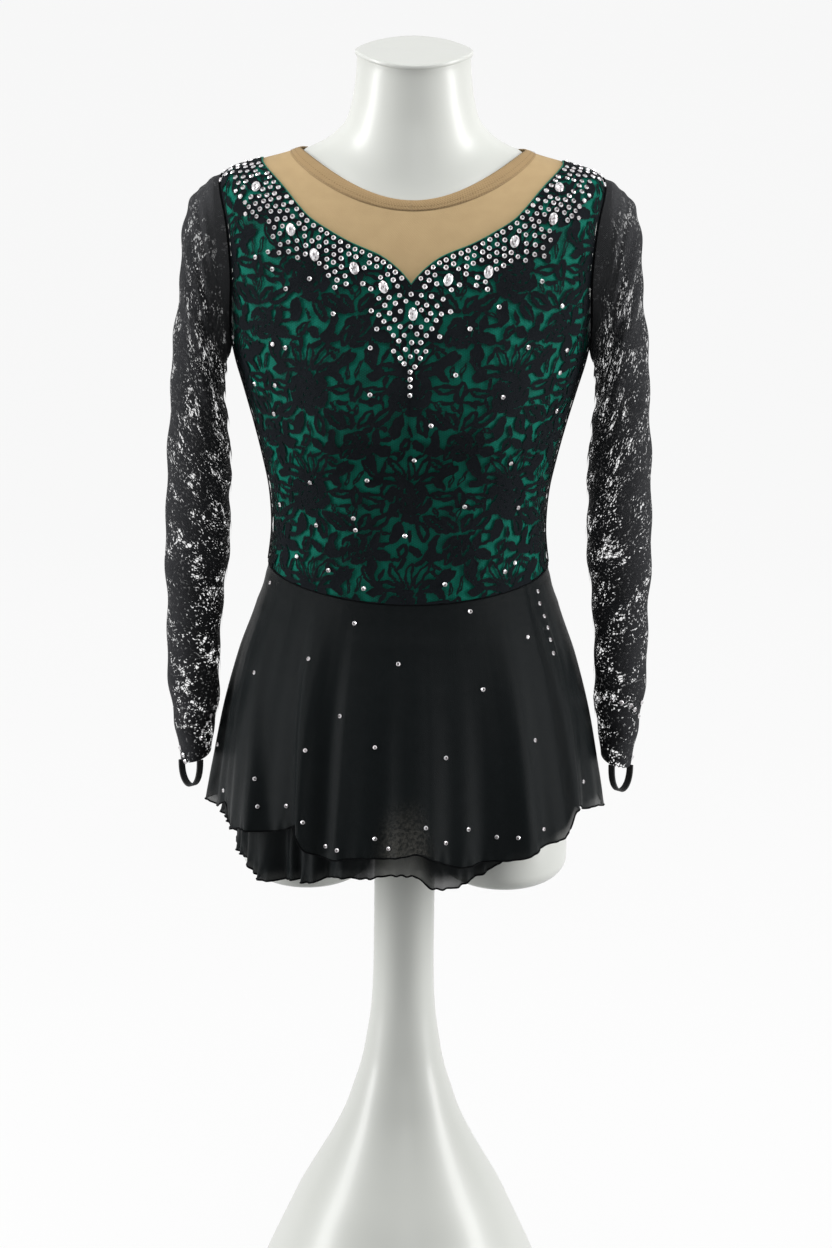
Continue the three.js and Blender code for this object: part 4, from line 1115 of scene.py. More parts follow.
def sleeve_flat(points):
    """Flat place: half the girth each way from the outer line, and length up it."""
    across = np.linalg.norm(np.diff(points, axis=1), axis=-1)
    width = np.pad(np.cumsum(across, axis=1), ((0, 0), (1, 0)))
    middle = points.shape[1] // 2
    width = width - width[:, middle:middle + 1]
    upward = np.linalg.norm(np.diff(points[:, middle], axis=0), axis=-1)
    length = np.concatenate([[0], np.cumsum(upward)])
    return np.stack([width, length[:, None] + 0 * width], axis=-1)


SIDES = (("left", -1), ("right", 1))
for name, side in SIDES:
    points = sleeve_points(side)
    # Each sleeve is cut from another place of the lace
    flat = sleeve_flat(points) + [17 * side + 20, 30 + 8 * side]
    sleeve = lace_panel(f"sleeve_{name}", points, flat, sleeve_lace,
                        [f"sleeve_{name}_front", f"sleeve_{name}_back"],
                        scale=0.85)
    # The lace closes towards the shoulder, and wholly in the seam at the armhole.
    # The same value lightens the colour there, a painted sheen.
    share_up = np.linspace(0, 1, points.shape[0])[:, None] + 0 * flat[..., 0]
    dense_and_sheen = np.clip((share_up - 0.72) / 0.2, 0, 1) + np.clip((share_up - 0.96) / 0.012, 0, 1)
    add_value(sleeve, "dense_and_sheen", dense_and_sheen)

# %% [markdown]
# ## Yoke and neck binding
# The bare-looking part above the sweetheart edge is nude stretch mesh. A strip of
# the same cloth is folded over the neck edge and held by two rows of stitches.

# %% Yoke
YOKE_ROWS, YOKE_COLUMNS = 40, 181


def yoke_points(which):
    """Grid between the lace edge and the binding, with rows that rise."""
    edge = sweetheart if which == "front" else back_neck
    signed = np.linspace(-1, 1, YOKE_COLUMNS)
    low_angle, low_level = edge(np.abs(signed))
    if which == "front":
        angle = low_angle * np.where(signed < 0, -1, 1)
    else:
        angle = np.where(signed < 0, 360 - low_angle, low_angle)[::-1]
        low_level = low_level[::-1]
    up = np.linspace(0, 1, YOKE_ROWS)[:, None]
    level = low_level + 0.03 + (BINDING_LOW + 0.1 - low_level) * up
    angle = angle[None, :] + 0 * up
    if which == "back":
        order = np.argsort(angle[0])
        angle, level = angle[:, order], level[:, order]
    return body_point(angle, level, LINING_OUT), flat_place(which, angle, level)


for which, cut, area in (("front", (0.26, 0.13), 0.012), ("back", (0.24, 0.09), 0.009)):
    points, flat = yoke_points(which)
    cloth_panel(f"mesh_yoke_{which}", points, flat, nude_mesh,
                [f"yoke_{which}"])

# %% Neck binding
BINDING_RISE, BINDING_PLACES = 0.65, 240
binding_turn = np.linspace(0, 360, BINDING_PLACES, endpoint=False)
# level from the lower edge to the top, and distance out of the body, round the fold
fold = np.array([[0.02, 1.9], [0.25, 2.3], [0.6, 2.6], [0.9, 2.5], [1.02, 1.9], [0.97, 1.2],
                 [0.7, 0.95], [0.3, 0.9], [0.05, 1.0]])


def binding_level(turn, share):
    """The strip is broader in front: its top rises there with the cosine of the angle."""
    top = BINDING_TOP + BINDING_RISE * np.clip(np.cos(np.radians(turn)), 0, 1)
    return BINDING_LOW + (top - BINDING_LOW) * share


level = binding_level(binding_turn[:, None], fold[None, :, 0])
strip = body_point(binding_turn[:, None], level, fold[None, :, 1])
binding = add_piece("binding_strip", strip, ring_faces(BINDING_PLACES, len(fold), closed=True),
                    nude_binding)
along = np.cumsum(np.full(BINDING_PLACES, 2.2))[:, None] + 0 * level
across = np.cumsum(np.ones(len(fold))) * 2 + 0 * level
add_uv(binding, np.stack([along, across], axis=-1))
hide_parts("neck_binding")


# %% [markdown]
# Two rows of stitches hold the binding. Each stitch is a tiny spindle of thread, so
# the rows stay true in a close view and cost only a few faces.

# %% Topstitching
def stitch_row(name, path, out, length, width, material):
    """Thread dashes along a line: each a flat spindle of six points and eight faces."""
    step = np.linalg.norm(np.diff(path, axis=0), axis=1)
    run = np.concatenate([[0], np.cumsum(step)])
    middle = np.arange(length, run[-1], length * 1.45)
    place = np.stack([np.interp(middle, run, path[:, axis]) for axis in range(3)], axis=-1)
    ahead = np.stack([np.interp(middle + 1, run, path[:, axis]) for axis in range(3)], axis=-1)
    along = unit(ahead - place)
    away = np.stack([np.interp(middle, run, out[:, axis]) for axis in range(3)], axis=-1)
    aside = np.cross(along, away)
    corners = np.stack([place - along * length / 2, place + along * length / 2,
                        place + aside * width / 2, place - aside * width / 2,
                        place + away * width * 0.7, place - away * width * 0.3], axis=1)
    shape = np.array([[0, 4, 2], [2, 4, 1], [1, 4, 3], [3, 4, 0],
                      [2, 5, 0], [1, 5, 2], [3, 5, 1], [0, 5, 3]])
    faces = (shape[None] + 6 * np.arange(len(place))[:, None, None]).reshape(-1, 3)
    piece = add_piece(name, corners, faces, material, smooth=False)
    add_uv(piece, corners[..., [0, 2]])
    print(name, len(place), "stitches")


STITCH_OUT, STITCH_LONG, STITCH_WIDE = 2.5, 2.0, 0.5
ring_turn = np.linspace(0, 360, 361)
for number, share in ((1, 0.12), (2, 0.45)):
    level = binding_level(ring_turn, share)
    line = body_point(ring_turn, level, STITCH_OUT)
    out = unit(line - body_base(ring_turn, level))
    stitch_row(f"binding_stitches_{number}", line, out, STITCH_LONG, STITCH_WIDE, nude_thread)

# %% [markdown]
# ## Skirts
# A circular skirt is cut from a ring of cloth, so it falls in soft cones that grow
# towards the hem. Each cone is a smooth ridge at its own angle that starts at its
# own height. Small ripples near the hem are added to them. The under skirt is
# slimmer, and its edge is stretched while it is rolled, so it curls like a leaf.

# %% Skirt shape
SKIRT_LINE = np.array([
    # share down, side, front, back
    [0, 125, 92, 85], [0.05, 127.5, 95, 88], [0.16, 135, 103, 98], [0.36, 149, 117, 116],
    [0.58, 160, 131, 132], [0.8, 167, 143, 144], [1, 172, 151, 152],
])
FOLDS = np.array([
    # angle, how far it stands out, half width before and after, where it starts, lean
    [-92, 12, 9, 9, 0.1, 0], [-49, 15, 12, 4, 0.02, -13], [-30, 15, 2.4, 7, 0.02, -7],
    [-19.5, 9, 3, 10, 0.05, 0], [2, 11, 14, 13, 0.04, 0], [37, 15, 6, 8, 0.02, 0],
    [56, 15, 9, 2.8, 0.04, 5], [88, 12, 9, 9, 0.1, 0], [112, 11, 8, 8, 0.1, 0],
    [133, 14, 9, 5, 0.02, 3], [157, 12, 8, 8, 0.12, 0], [180, 14, 4, 10, 0.03, -4],
    [205, 14, 9, 7, 0.08, 0], [227, 12, 8, 8, 0.04, 0], [247, 13, 5, 8, 0.12, -3],
])
UPPER_HEM = np.array([[-180, 546], [-120, 545], [-92, 542], [-80, 547], [-71, 554], [-67, 541],
                      [-57, 544], [-48, 549], [-38, 554], [-32, 558], [-28, 543], [-20, 537],
                      [-7, 541], [3, 544], [7, 539], [19, 530], [28, 532], [36, 537],
                      [45, 541], [52, 548], [55, 566], [64, 562], [74, 553], [86, 546],
                      [100, 547], [120, 548], [180, 546]])
UNDER_HEM = np.array([[-180, 548], [-120, 545], [-92, 534], [-78, 528], [-70, 517], [-60, 513],
                      [-53, 506], [-42, 502], [-26, 513], [-16, 517], [-7, 520], [4, 520],
                      [8, 511], [16, 507], [21, 512], [29, 526], [37, 542], [60, 553],
                      [120, 552], [180, 548]])
GAP_AT_WAIST, GAP_AT_HEM = 1.5, 12.0


def along_rows(rows, wanted):
    """Smooth value between rows whose first column rises but isn't evenly spaced."""
    index = np.clip(np.searchsorted(rows[:, 0], wanted, side="right") - 1, 0, len(rows) - 2)
    share = (wanted - rows[index, 0]) / (rows[index + 1, 0] - rows[index, 0])
    return between_rows(rows[:, 1:], index + share)


def fold_height(angle, down):
    """Sum of the ridges: each is stands * grown^1.1 * exp(-(away / half width)^2), where
    the half width differs on its two sides, so that some ridges end in a steep edge."""
    crest = FOLDS[:, 0] + FOLDS[:, 5] * (1 - down[..., None])
    away = (angle[..., None] - crest + 540) % 360 - 180
    half = np.where(away < 0, FOLDS[:, 2], FOLDS[:, 3])
    grown = np.clip((down[..., None] - FOLDS[:, 4]) / (1 - FOLDS[:, 4]), 0, 1) ** 1.1
    return (FOLDS[:, 1] * grown * np.exp(-((away / half) ** 2))).sum(axis=-1)


def skirt_points(angle, down, hem, layer, curl):
    """Ring point of a skirt: the smooth line plus its folds, less the room between
    the layers; curl adds the waves of a stretched edge near the hem."""
    angle, down = np.broadcast_arrays(np.asarray(angle, float), np.asarray(down, float))
    side, front, back = np.moveaxis(along_rows(SKIRT_LINE, down), -1, 0)
    shrink = layer * (GAP_AT_WAIST + (GAP_AT_HEM - GAP_AT_WAIST) * down)
    ridges = fold_height(angle, down)
    wave = (ridges - 3.0 * down) * (1 - 0.25 * layer) - shrink
    turn = np.radians(angle)
    left_front = np.exp(-(((angle + 180) % 360 - 180 + 46) / 24) ** 2)
    wave += layer * left_front * down**3 * 4.0 * np.sin(turn * 52 + 1.5 * np.sin(turn * 11))
    wave += down**2 * (1.3 * np.sin(turn * 23 + 1 + layer) + 1.0 * np.sin(turn * 37 + 2.2))
    near_hem = np.clip((down - 0.93) / 0.07, 0, 1) ** 1.5
    wave += near_hem * curl * (np.sin(turn * 88 + 2 * np.sin(turn * 7)) + 0.5 * np.sin(turn * 131))
    top = body_base(angle, WAIST)[..., 2]
    hem_z = along_rows(hem, (angle + 180) % 360 - 180)[..., 0]
    hem_z = hem_z + 1.5 * np.sin(turn * 19 + layer * 2) - near_hem * curl * 0.4
    square = 2.3 - 0.2 * down
    sine, cosine = np.sin(turn), np.cos(turn)
    reach = ring_reach(sine, cosine, square)
    depth = np.where(cosine > 0, front, back)
    return np.stack([(side + wave) * reach * sine, -(depth + wave) * reach * cosine,
                     top - 0.7 + (hem_z - top) * down], axis=-1)


print("ridges", len(FOLDS), "tallest", FOLDS[:, 1].max(), "mm")

# %% [markdown]
# Crepe is matt and nearly opaque. Where only one layer hangs in front of the light
# it turns a little clear, so each point keeps how far down and how thin it is.
# Where it is thin, the light from behind is also painted into its colour.

# %% Skirt finish
def skirt_material(name, opacity, hem_opacity):
    """Black crepe, a little see-through, more so in the last centimetres. Where it
    is thin its colour is painted lighter, a painted light from behind.
    """
    material, nodes, links, shader = new_material(name, 0.45, (0.008, 0.0095, 0.0105))
    tree = material.node_tree
    grain = place_grain(tree, cloth_coordinates(nodes), 800, 1.2)
    tone = mix_colours(tree, grain.outputs["Shade"], (0.0012, 0.0026, 0.003),
                       (0.0042, 0.0062, 0.007))
    shader.inputs["Specular IOR Level"].default_value = 0.085
    shader.inputs["Sheen Weight"].default_value = 0.01
    shader.inputs["Sheen Roughness"].default_value = 0.5
    thin = kept_value(tree, "thin")
    # Painted light: where the cloth is thin its colour is lightened toward pale grey
    # in uneven patches, standing in for light from behind that comes through it
    backlight_noise = noise_value(tree, cloth_coordinates(nodes), 300)
    uneven = ramp_value(tree, backlight_noise, 0.38, 0.62, 0.35, 1.3)
    painted_backlight = math_node(tree, "MULTIPLY", uneven, ramp_value(tree, thin, 0.0, 0.3, 0.0, 0.75))
    links.new(mix_colours(tree, painted_backlight, tone, (0.06, 0.058, 0.052)), shader.inputs["Base Color"])
    sheer = ramp_value(tree, kept_value(tree, "down"), 0.95, 0.99, opacity, hem_opacity)
    thick = math_node(tree, "MULTIPLY_ADD", grain.outputs["Height"], 0.04, sheer)
    clear = math_node(tree, "MULTIPLY_ADD", thin, -1.0, thick)
    links.new(math_node(tree, "MINIMUM", clear, 1.0), shader.inputs["Alpha"])
    add_bump(tree, shader, grain.outputs["Height"], 0.5, 0.0003)
    return material


black_crepe = skirt_material("BlackCrepe", 0.995, 0.97)
black_chiffon = skirt_material("BlackChiffon", 0.995, 0.95)

print("skirt finishes:", black_crepe.name, black_chiffon.name)

# %% [markdown]
# Both layers are one function with their own hem, curl and thin places, so that
# the upper one always hangs clear of the under one.

# %% Both layers
def thin_spots(angle, down, spots):
    """Where light comes through one layer: a sum of soft spots round the hem, each
    with its middle angle, half width, where down it begins, and how clear it is.
    The skirt material also paints that light into the colour there."""
    away = (angle[..., None] - spots[:, 0] + 540) % 360 - 180
    begun = np.clip((down[..., None] - spots[:, 2]) / (0.985 - spots[:, 2]), 0, 1)
    return (spots[:, 3] * np.exp(-((away / spots[:, 1]) ** 2) ** 1.5) * begun).sum(axis=-1)


UPPER_THIN = np.array([[0, 7, 0.74, 0.3], [-88, 7, 0.94, 0.12], [-64, 5, 0.94, 0.15],
                       [51, 4, 0.95, 0.12], [84, 8, 0.94, 0.12], [180, 14, 0.85, 0.12]])
UNDER_THIN = np.array([[-1, 7, 0.76, 0.36], [13, 5, 0.94, 0.12], [180, 12, 0.85, 0.12]])


SKIRT_COLUMNS, SKIRT_ROWS = 640, 62
SKIRT_LONG, HEM_ROLL = 230, 0.8


def add_skirt(name, hem, layer, curl, thin, material, node):
    """One layer of skirt, its rolled hem as a thin cord, and its facts."""
    angle = 180 + np.arange(SKIRT_COLUMNS) * 360 / SKIRT_COLUMNS
    down = np.linspace(1, 0, SKIRT_ROWS)
    points = skirt_points(angle[None, :], down[:, None], hem, layer, curl)
    piece = add_piece(name, points, grid_faces(SKIRT_ROWS, SKIRT_COLUMNS, closed=True), material)
    girth = np.cumsum(np.linalg.norm(np.roll(points[0], -1, 0) - points[0], axis=-1))
    flat = np.stack([girth[None, :] + 0 * down[:, None],
                     (1 - down[:, None]) * SKIRT_LONG + 0 * angle], axis=-1)
    add_uv(piece, flat)
    add_value(piece, "down", down[:, None] + 0 * angle)
    add_value(piece, "thin", thin_spots(angle + 0 * down[:, None], down[:, None] + 0 * angle, thin))
    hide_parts(node)
    hem_points, hem_faces = tube(points[0], HEM_ROLL, sides=6, closed=True)
    roll = add_piece(f"{name}_hem", hem_points, hem_faces, seam_thread)
    add_uv(roll, hem_points[:, [0, 2]])
    closed = np.concatenate([points, points[:, :1]], axis=1)
    print(name, "area", round(cloth_area(closed), 4), "hem", round(float(girth[-1])), "mm")


UPPER_CURL, UNDER_CURL = 0.5, 1.7
add_skirt("upper_skirt", UPPER_HEM, 0, UPPER_CURL, UPPER_THIN, black_crepe,
          "skirt_upper")
add_skirt("under_skirt", UNDER_HEM, 1, UNDER_CURL, UNDER_THIN, black_chiffon,
          "skirt_under")

# %% [markdown]
# ## Seams and finger loops
# Seams hold the look together: a dark line round each armhole, along the waist and
# down each side, and a bright green edge where the lining is turned over the
# sweetheart line. Under each cuff hangs a flat elastic loop for the middle finger.

# %% Seams
def add_cord(name, path, radius, material, closed=False, sides=8):
    """A sewn edge as a thin round cord along a line."""
    points, faces = tube(path, radius, sides, closed)
    piece = add_piece(name, points, faces, material)
    add_uv(piece, points[:, [0, 2]])


SEAM_RADIUS, SIDE_SEAM_RADIUS, TURNED_RADIUS = 0.9, 0.6, 0.65
SIDE_SEAM_OUT, WAIST_SEAM_OUT = 3.5, 2.6
hole_turn = np.linspace(0, 1, 120, endpoint=False)
seam_level = np.linspace(WAIST, ARMPIT, 60)
for name, side in SIDES:
    add_cord(f"armhole_seam_{name}", armhole_point(hole_turn) * [side, 1, 1], SEAM_RADIUS,
             seam_thread, closed=True)
    add_cord(f"side_seam_{name}", body_point(side * 90.0, seam_level, SIDE_SEAM_OUT),
             SIDE_SEAM_RADIUS, seam_thread)
edge_share = np.linspace(-1, 1, 301)
edge_angle, edge_level = sweetheart(np.abs(edge_share))
edge_angle = edge_angle * np.where(edge_share < 0, -1, 1)
neck_angle, neck_level = back_neck(np.abs(edge_share))
neck_angle = np.where(edge_share < 0, neck_angle, 360 - neck_angle)
for name, angle, level in (("sweetheart_edge", edge_angle, edge_level),
                           ("back_neck_edge", neck_angle, neck_level)):
    add_cord(name, body_point(angle, level + 0.02, EDGE_OUT), TURNED_RADIUS, green_thread)
waist_turn = np.arange(240) * 1.5
add_cord("waist_seam", body_point(waist_turn, WAIST - 0.02, WAIST_SEAM_OUT), SEAM_RADIUS,
         seam_thread, closed=True)
print("waist seam", round(float(np.ptp(body_point(waist_turn, WAIST, 0)[:, 0]))), "mm wide")

# %% Finger loops
LOOP_FROM, LOOP_TO, LOOP_DROP, LOOP_WIDE, LOOP_THICK = 0.03, 0.32, 25.0, 6.5, 1.6


def loop_points(side):
    """A flat band bent to a U: half a circle across, and down by sin^0.8."""
    first, second = arm_point(LOOP_FROM, 1.0), arm_point(LOOP_TO, 1.0)
    middle, half = (first + second) / 2, (first - second) / 2
    half[2] = 0
    radius = np.linalg.norm(half) - 0.5
    along = half / np.linalg.norm(half)
    across = np.cross([0, 0, 1], along) * LOOP_WIDE / 2
    bend = np.linspace(0, np.pi, 49)
    rim = first[2] + (second[2] - first[2]) * bend / np.pi - 0.9
    rows = []
    for shrink, shift in ((0, -1), (0, 1), (LOOP_THICK, 1), (LOOP_THICK, -1)):
        point = middle + along * ((radius - shrink) * np.cos(bend))[:, None] + across * shift
        point[:, 2] = rim - (LOOP_DROP - shrink) * np.sin(bend) ** 0.8
        rows.append(point * [side, 1, 1])
    return np.stack(rows, axis=1)


for name, side in SIDES:
    points = loop_points(side)
    last = np.arange(4) + len(points) * 4 - 4
    faces = np.vstack([grid_faces(len(points), 4, closed=True), [[3, 2, 1, 0], last]])
    faces = faces if side > 0 else faces[:, ::-1]
    loop = add_piece(f"cuff_loop_{name}", points, faces, black_elastic,
                     smooth=False)
    add_uv(loop, points.reshape(-1, 3)[:, [0, 2]])
    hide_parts(f"finger_loop_{name}")
print("loops hang", LOOP_DROP, "mm")

# %% [markdown]
# ## Rhinestones
# Flat-backed stones are glued on by hand: close rows along the sweetheart edge
# that end in a point at the middle, and single ones over bodice, skirt and cuffs.
# Each is a low cut cone with a flat table. The stones of one group share one mesh.

# %% Stone shape
STONE_SIDES = 8
stone_turn = np.arange(STONE_SIDES) * 2 * np.pi / STONE_SIDES
STONE_PROFILE = ((1.0, 0.0), (1.0, 0.16), (0.55, 0.62))


def stone_mesh(places, outs, radius):
    """Points and faces of many stones: each ring of the profile is placed across the
    stone's own direction, a table closes the top."""
    places, outs = np.asarray(places, float), np.asarray(outs, float)
    lift = np.where(np.abs(outs[:, 2:3]) > 0.9, [[0, 1.0, 0]], [[0, 0, 1.0]])
    aside = unit(np.cross(lift, outs))
    upward = np.cross(outs, aside)
    radius = np.broadcast_to(np.asarray(radius, float).reshape(-1, 1), (len(places), 2))
    rings = []
    for wide, high in STONE_PROFILE:
        circle = (aside[:, None] * (np.cos(stone_turn)[None, :, None] * radius[:, None, :1])
                  + upward[:, None] * (np.sin(stone_turn)[None, :, None] * radius[:, None, 1:]))
        rings.append(places[:, None] + circle * wide + outs[:, None] * high * radius[:, None, :1])
    points = np.stack(rings, axis=1).reshape(-1, 3)
    quads = grid_faces(len(STONE_PROFILE), STONE_SIDES, closed=True)
    count = STONE_SIDES * len(STONE_PROFILE)
    table = np.arange(STONE_SIDES) + count - STONE_SIDES
    base = np.arange(STONE_SIDES)[::-1]
    start = (np.arange(len(places)) * count)[:, None, None]
    quad_faces = (quads[None] + start).reshape(-1, 4).tolist()
    caps = (np.stack([table, base])[None] + start).reshape(-1, STONE_SIDES).tolist()
    return points, quad_faces + caps


def stone_material():
    """Foil-backed glass with painted sparkle: bright pinkish facets, and a darker
    table in the middle, a painted reflection.
    """
    material, nodes, links, shader = new_material("Rhinestone", 0.16, (0.8, 0.74, 0.75))
    tree = material.node_tree
    shader.inputs["Metallic"].default_value = 0.35
    shader.inputs["Coat Weight"].default_value = 1.0
    shader.inputs["Coat Roughness"].default_value = 0.05
    # Painted fire: noise turns each facet's colour between pinkish and bluish glints; faces marked
    # as table are painted dark, a painted reflection
    painted_fire = noise_value(tree, object_place(tree), 160)
    painted_fire_colour = mix_colours(tree, painted_fire, (0.95, 0.84, 0.86), (0.88, 0.93, 0.95))
    tone = mix_colours(tree, kept_value(tree, "table"), painted_fire_colour, (0.2, 0.17, 0.175))
    links.new(tone, shader.inputs["Base Color"])
    return material


rhinestone = stone_material()


def add_stones(name, places, outs, radius):
    """One mesh of stones, with the table marked for the material, which paints it
    darker as a painted reflection.
    """
    points, faces = stone_mesh(places, outs, radius)
    piece = add_piece(name, points, faces, rhinestone, smooth=False)
    add_value(piece, "table", [len(face) == STONE_SIDES for face in faces], "FACE")
    print(name, len(places), "stones")


# %% Rows along the sweetheart edge
STONE_SEED, ROW_COUNT, ROW_PITCH, STONE_PITCH, HEART_HIGH = 7, 12, 6.1, 6.9, 1034
CARRIED_PLACES, CARRIED_FAR = 60, 110
rng = np.random.default_rng(STONE_SEED)
half_up = np.linspace(0.35, 1, 260)[:, None]
half_across = np.linspace(0, 1, 220)[None, :]
band_angle, band_level = panel_places("front", half_up + 0 * half_across,
                                      half_across + 0 * half_up)
band = body_point(band_angle, band_level, STONE_OUT)
band_outs = grid_normals(band).reshape(-1, 3)
band = band.reshape(-1, 3)
rim = body_point(*sweetheart(np.linspace(0, 1, 240)), STONE_OUT)
slope = rim[6] - rim[0]
slope /= np.linalg.norm(slope)
# The edge is carried on past the point of the heart, so the rows meet in a V
carried = rim[0] - slope * np.linspace(CARRIED_FAR, 1, CARRIED_PLACES)[:, None]
rim = np.vstack([carried, rim])
run = np.concatenate([[0], np.cumsum(np.linalg.norm(np.diff(rim, axis=0), axis=1))])
run -= run[CARRIED_PLACES]
gap = np.linalg.norm(band[:, None, :] - rim[None, ::2, :], axis=-1)
nearest = np.argmin(gap, axis=1)
depth, share_run = gap[np.arange(len(band)), nearest], run[::2][nearest]
del gap
targets = []
for row in range(ROW_COUNT):
    start = -100 + (row % 2) * STONE_PITCH / 2
    for step in np.arange(start, run[-1] - 2, STONE_PITCH):
        targets.append((step + rng.uniform(-0.6, 0.6),
                        3.4 + row * ROW_PITCH + rng.uniform(-0.5, 0.5)))
targets = np.array(targets)
miss = (share_run[None, :] - targets[:, :1]) ** 2 + (depth[None, :] - targets[:, 1:]) ** 2
chosen = np.argmin(miss, axis=1)
found = miss[np.arange(len(targets)), chosen] < 2.0
del miss
spot = band[chosen]
below = HEART_HIGH - spot[:, 2]
ragged = 35 + 6 * np.sin(targets[:, 0] * 0.13) + rng.uniform(-4, 6, len(targets))
in_band = (targets[:, 0] >= 0) & (targets[:, 1] < ragged)
keep = found & in_band & (spot[:, 0] > 5.6) & ((spot[:, 0] > 27) | (below < 1))
MIRROR = [-1, 1, 1]
band_spots = np.vstack([spot[keep], spot[keep] * MIRROR])
# Below the heart they stand in staggered rows that narrow to single stones
POINT_DROPS = np.array([0, 10, 27, 42, 52, 60, 70, 78, 96])
POINT_HALVES = np.array([40, 32, 26, 19.5, 13.5, 10, 5.5, 0.5, 0.5])
point_places = []
for row in range(14):
    drop = 6.5 + row * 6.5
    half = np.interp(drop, POINT_DROPS, POINT_HALVES)
    across = np.arange(-5, 6) * 9.0 + (4.5 if row % 2 and half > 4 else 0)
    for x in across[np.abs(across) <= half]:
        lean = rng.uniform(-0.9, 0.9, 2) if half > 4 else (0, 0)
        point_places.append((x + lean[0], HEART_HIGH - drop - 0.12 * abs(x) + lean[1]))
point_places = np.array(point_places)
print("stones in the rows", len(band_spots))

# %% Single stones
LARGE_STONES_SEEN = [(256, 187), (291, 229), (314, 255), (354, 269), (384, 286.5), (412.6, 313),
                     (448, 279.5), (488, 272), (515, 241), (553, 219.5), (559, 188)]
BODICE_STONES_SEEN = [
    (234, 337), (272, 269), (286, 289), (309, 279), (268, 252), (255, 257), (334, 314.5),
    (371, 348), (377, 328), (440, 337), (471, 330), (499, 308), (562, 306), (541.5, 282),
    (529, 347), (566.5, 349), (559, 372), (502, 398), (456, 376), (432, 425), (369, 395),
    (273, 343), (286, 347), (255, 383), (275, 385), (274, 413), (556, 411.5), (415, 461),
    (510, 463.5), (311, 482), (367, 480), (464, 507), (518, 507), (280, 505), (317, 526),
    (353, 519), (355.5, 530), (405, 536.5), (297, 557), (328, 570), (364, 588), (445, 584),
    (515, 563), (504, 571),
]
SKIRT_STONES_SEEN = [
    (270, 583), (354.5, 623), (308, 659), (254, 673), (399, 664), (470, 611), (527, 637),
    (483, 689), (340, 716), (375.5, 748), (446, 758), (535, 740), (306, 751), (218, 744),
    (254.5, 779), (224, 790), (257.5, 807), (287, 806), (302, 822), (325.5, 846), (337, 850),
    (374.5, 838.5), (389, 849), (426.5, 828), (469, 830), (446, 843), (497, 837), (518.5, 837.5),
    (543, 829), (583, 781), (537, 591), (539, 603), (543.5, 616), (548, 628), (550, 640),
    (553, 653),
]
CUFF_STONES_SEEN = [
    (598, 702), (604, 698.5), (613, 700), (621, 702), (630, 705), (634, 710), (638, 716),
    (640.5, 702), (631, 757), (217, 699), (213, 707), (210.5, 715), (207, 723), (203, 731),
    (201, 738), (206, 745), (181, 747.5), (184, 755), (186, 761),
]


print("places read:", len(BODICE_STONES_SEEN) + len(SKIRT_STONES_SEEN) + len(CUFF_STONES_SEEN))

# %% [markdown]
# Each place was seen in the picture, so the camera's own numbers tell which point
# of the cloth lies there. Stones that would overlap are left out.

# %% Place the single stones
def on_cloth(points, normals, seen, most=3.0):
    """The points of a cloth that face the camera and are seen nearest to places in
    the photograph, with their directions; places farther off than most are left."""
    flat_points, flat_normals = points.reshape(-1, 3), normals.reshape(-1, 3)
    toward = camera_place / MM - flat_points
    facing = (toward * flat_normals).sum(axis=1) > 0
    flat_points, flat_normals = flat_points[facing], flat_normals[facing]
    pixel = picture_place(flat_points)
    seen = np.asarray(seen, float)
    far = ((pixel[None] - seen[:, None]) ** 2).sum(axis=-1)
    best = np.argmin(far, axis=1)
    near = far[np.arange(len(seen)), best] < most**2
    return flat_points[best[near]], flat_normals[best[near]]


APART, LARGE_APART = 5.6, 7.2
front_normals = grid_normals(front_cloth)
band_normals = band_outs[chosen][keep]
band_normals = np.vstack([band_normals, band_normals * MIRROR])
both_sides = np.vstack([band, band * MIRROR])
both_normals = np.vstack([band_outs, band_outs * MIRROR])
miss = ((both_sides[None, :, [0, 2]] - point_places[:, None]) ** 2).sum(axis=-1)
chosen = np.argmin(miss, axis=1)
band_spots = np.vstack([both_sides[chosen], band_spots])
band_normals = np.vstack([both_normals[chosen], band_normals])
apart = np.linalg.norm(band_spots[:, None] - band_spots[None], axis=-1)
alone = ~(np.tril(apart < APART, -1).any(axis=1))
band_spots, band_normals = band_spots[alone], band_normals[alone]
large_spots, large_outs = on_cloth(front_cloth, front_normals, LARGE_STONES_SEEN, 12)
crowd = np.linalg.norm(band_spots[:, None] - large_spots[None], axis=-1).min(axis=1)
free = crowd > LARGE_APART
add_stones("sweetheart_stones", band_spots[free], band_normals[free],
           rng.uniform(1.95, 2.3, int(free.sum())))
spots, outs = on_cloth(front_cloth, front_normals, BODICE_STONES_SEEN)
add_stones("bodice_stones", spots + outs * 0.6, outs, np.full(len(spots), 2.1))

skirt_angle = np.arange(-90, 90, 0.5)[None, :]
skirt_down = np.linspace(1, 0, 200)[:, None]
upper_grid = skirt_points(skirt_angle, skirt_down, UPPER_HEM, 0, UPPER_CURL)
spots, outs = on_cloth(upper_grid, grid_normals(upper_grid), SKIRT_STONES_SEEN)
add_stones("skirt_stones", spots + outs * 0.3, outs, np.full(len(spots), 1.95))

cuff_spots, cuff_outs = [], []
for side in (-1, 1):
    cuff = sleeve_points(side)[:120]
    cuff_normals = grid_normals(cuff)
    outward = ((cuff - cuff.mean(axis=1, keepdims=True)) * cuff_normals).sum(axis=-1).mean()
    spots, outs = on_cloth(cuff, cuff_normals * np.sign(outward), CUFF_STONES_SEEN, 5.0)
    cuff_spots.append(spots)
    cuff_outs.append(outs)
add_stones("cuff_stones", np.vstack(cuff_spots) + np.vstack(cuff_outs) * 0.8,
           np.vstack(cuff_outs), 2.35)

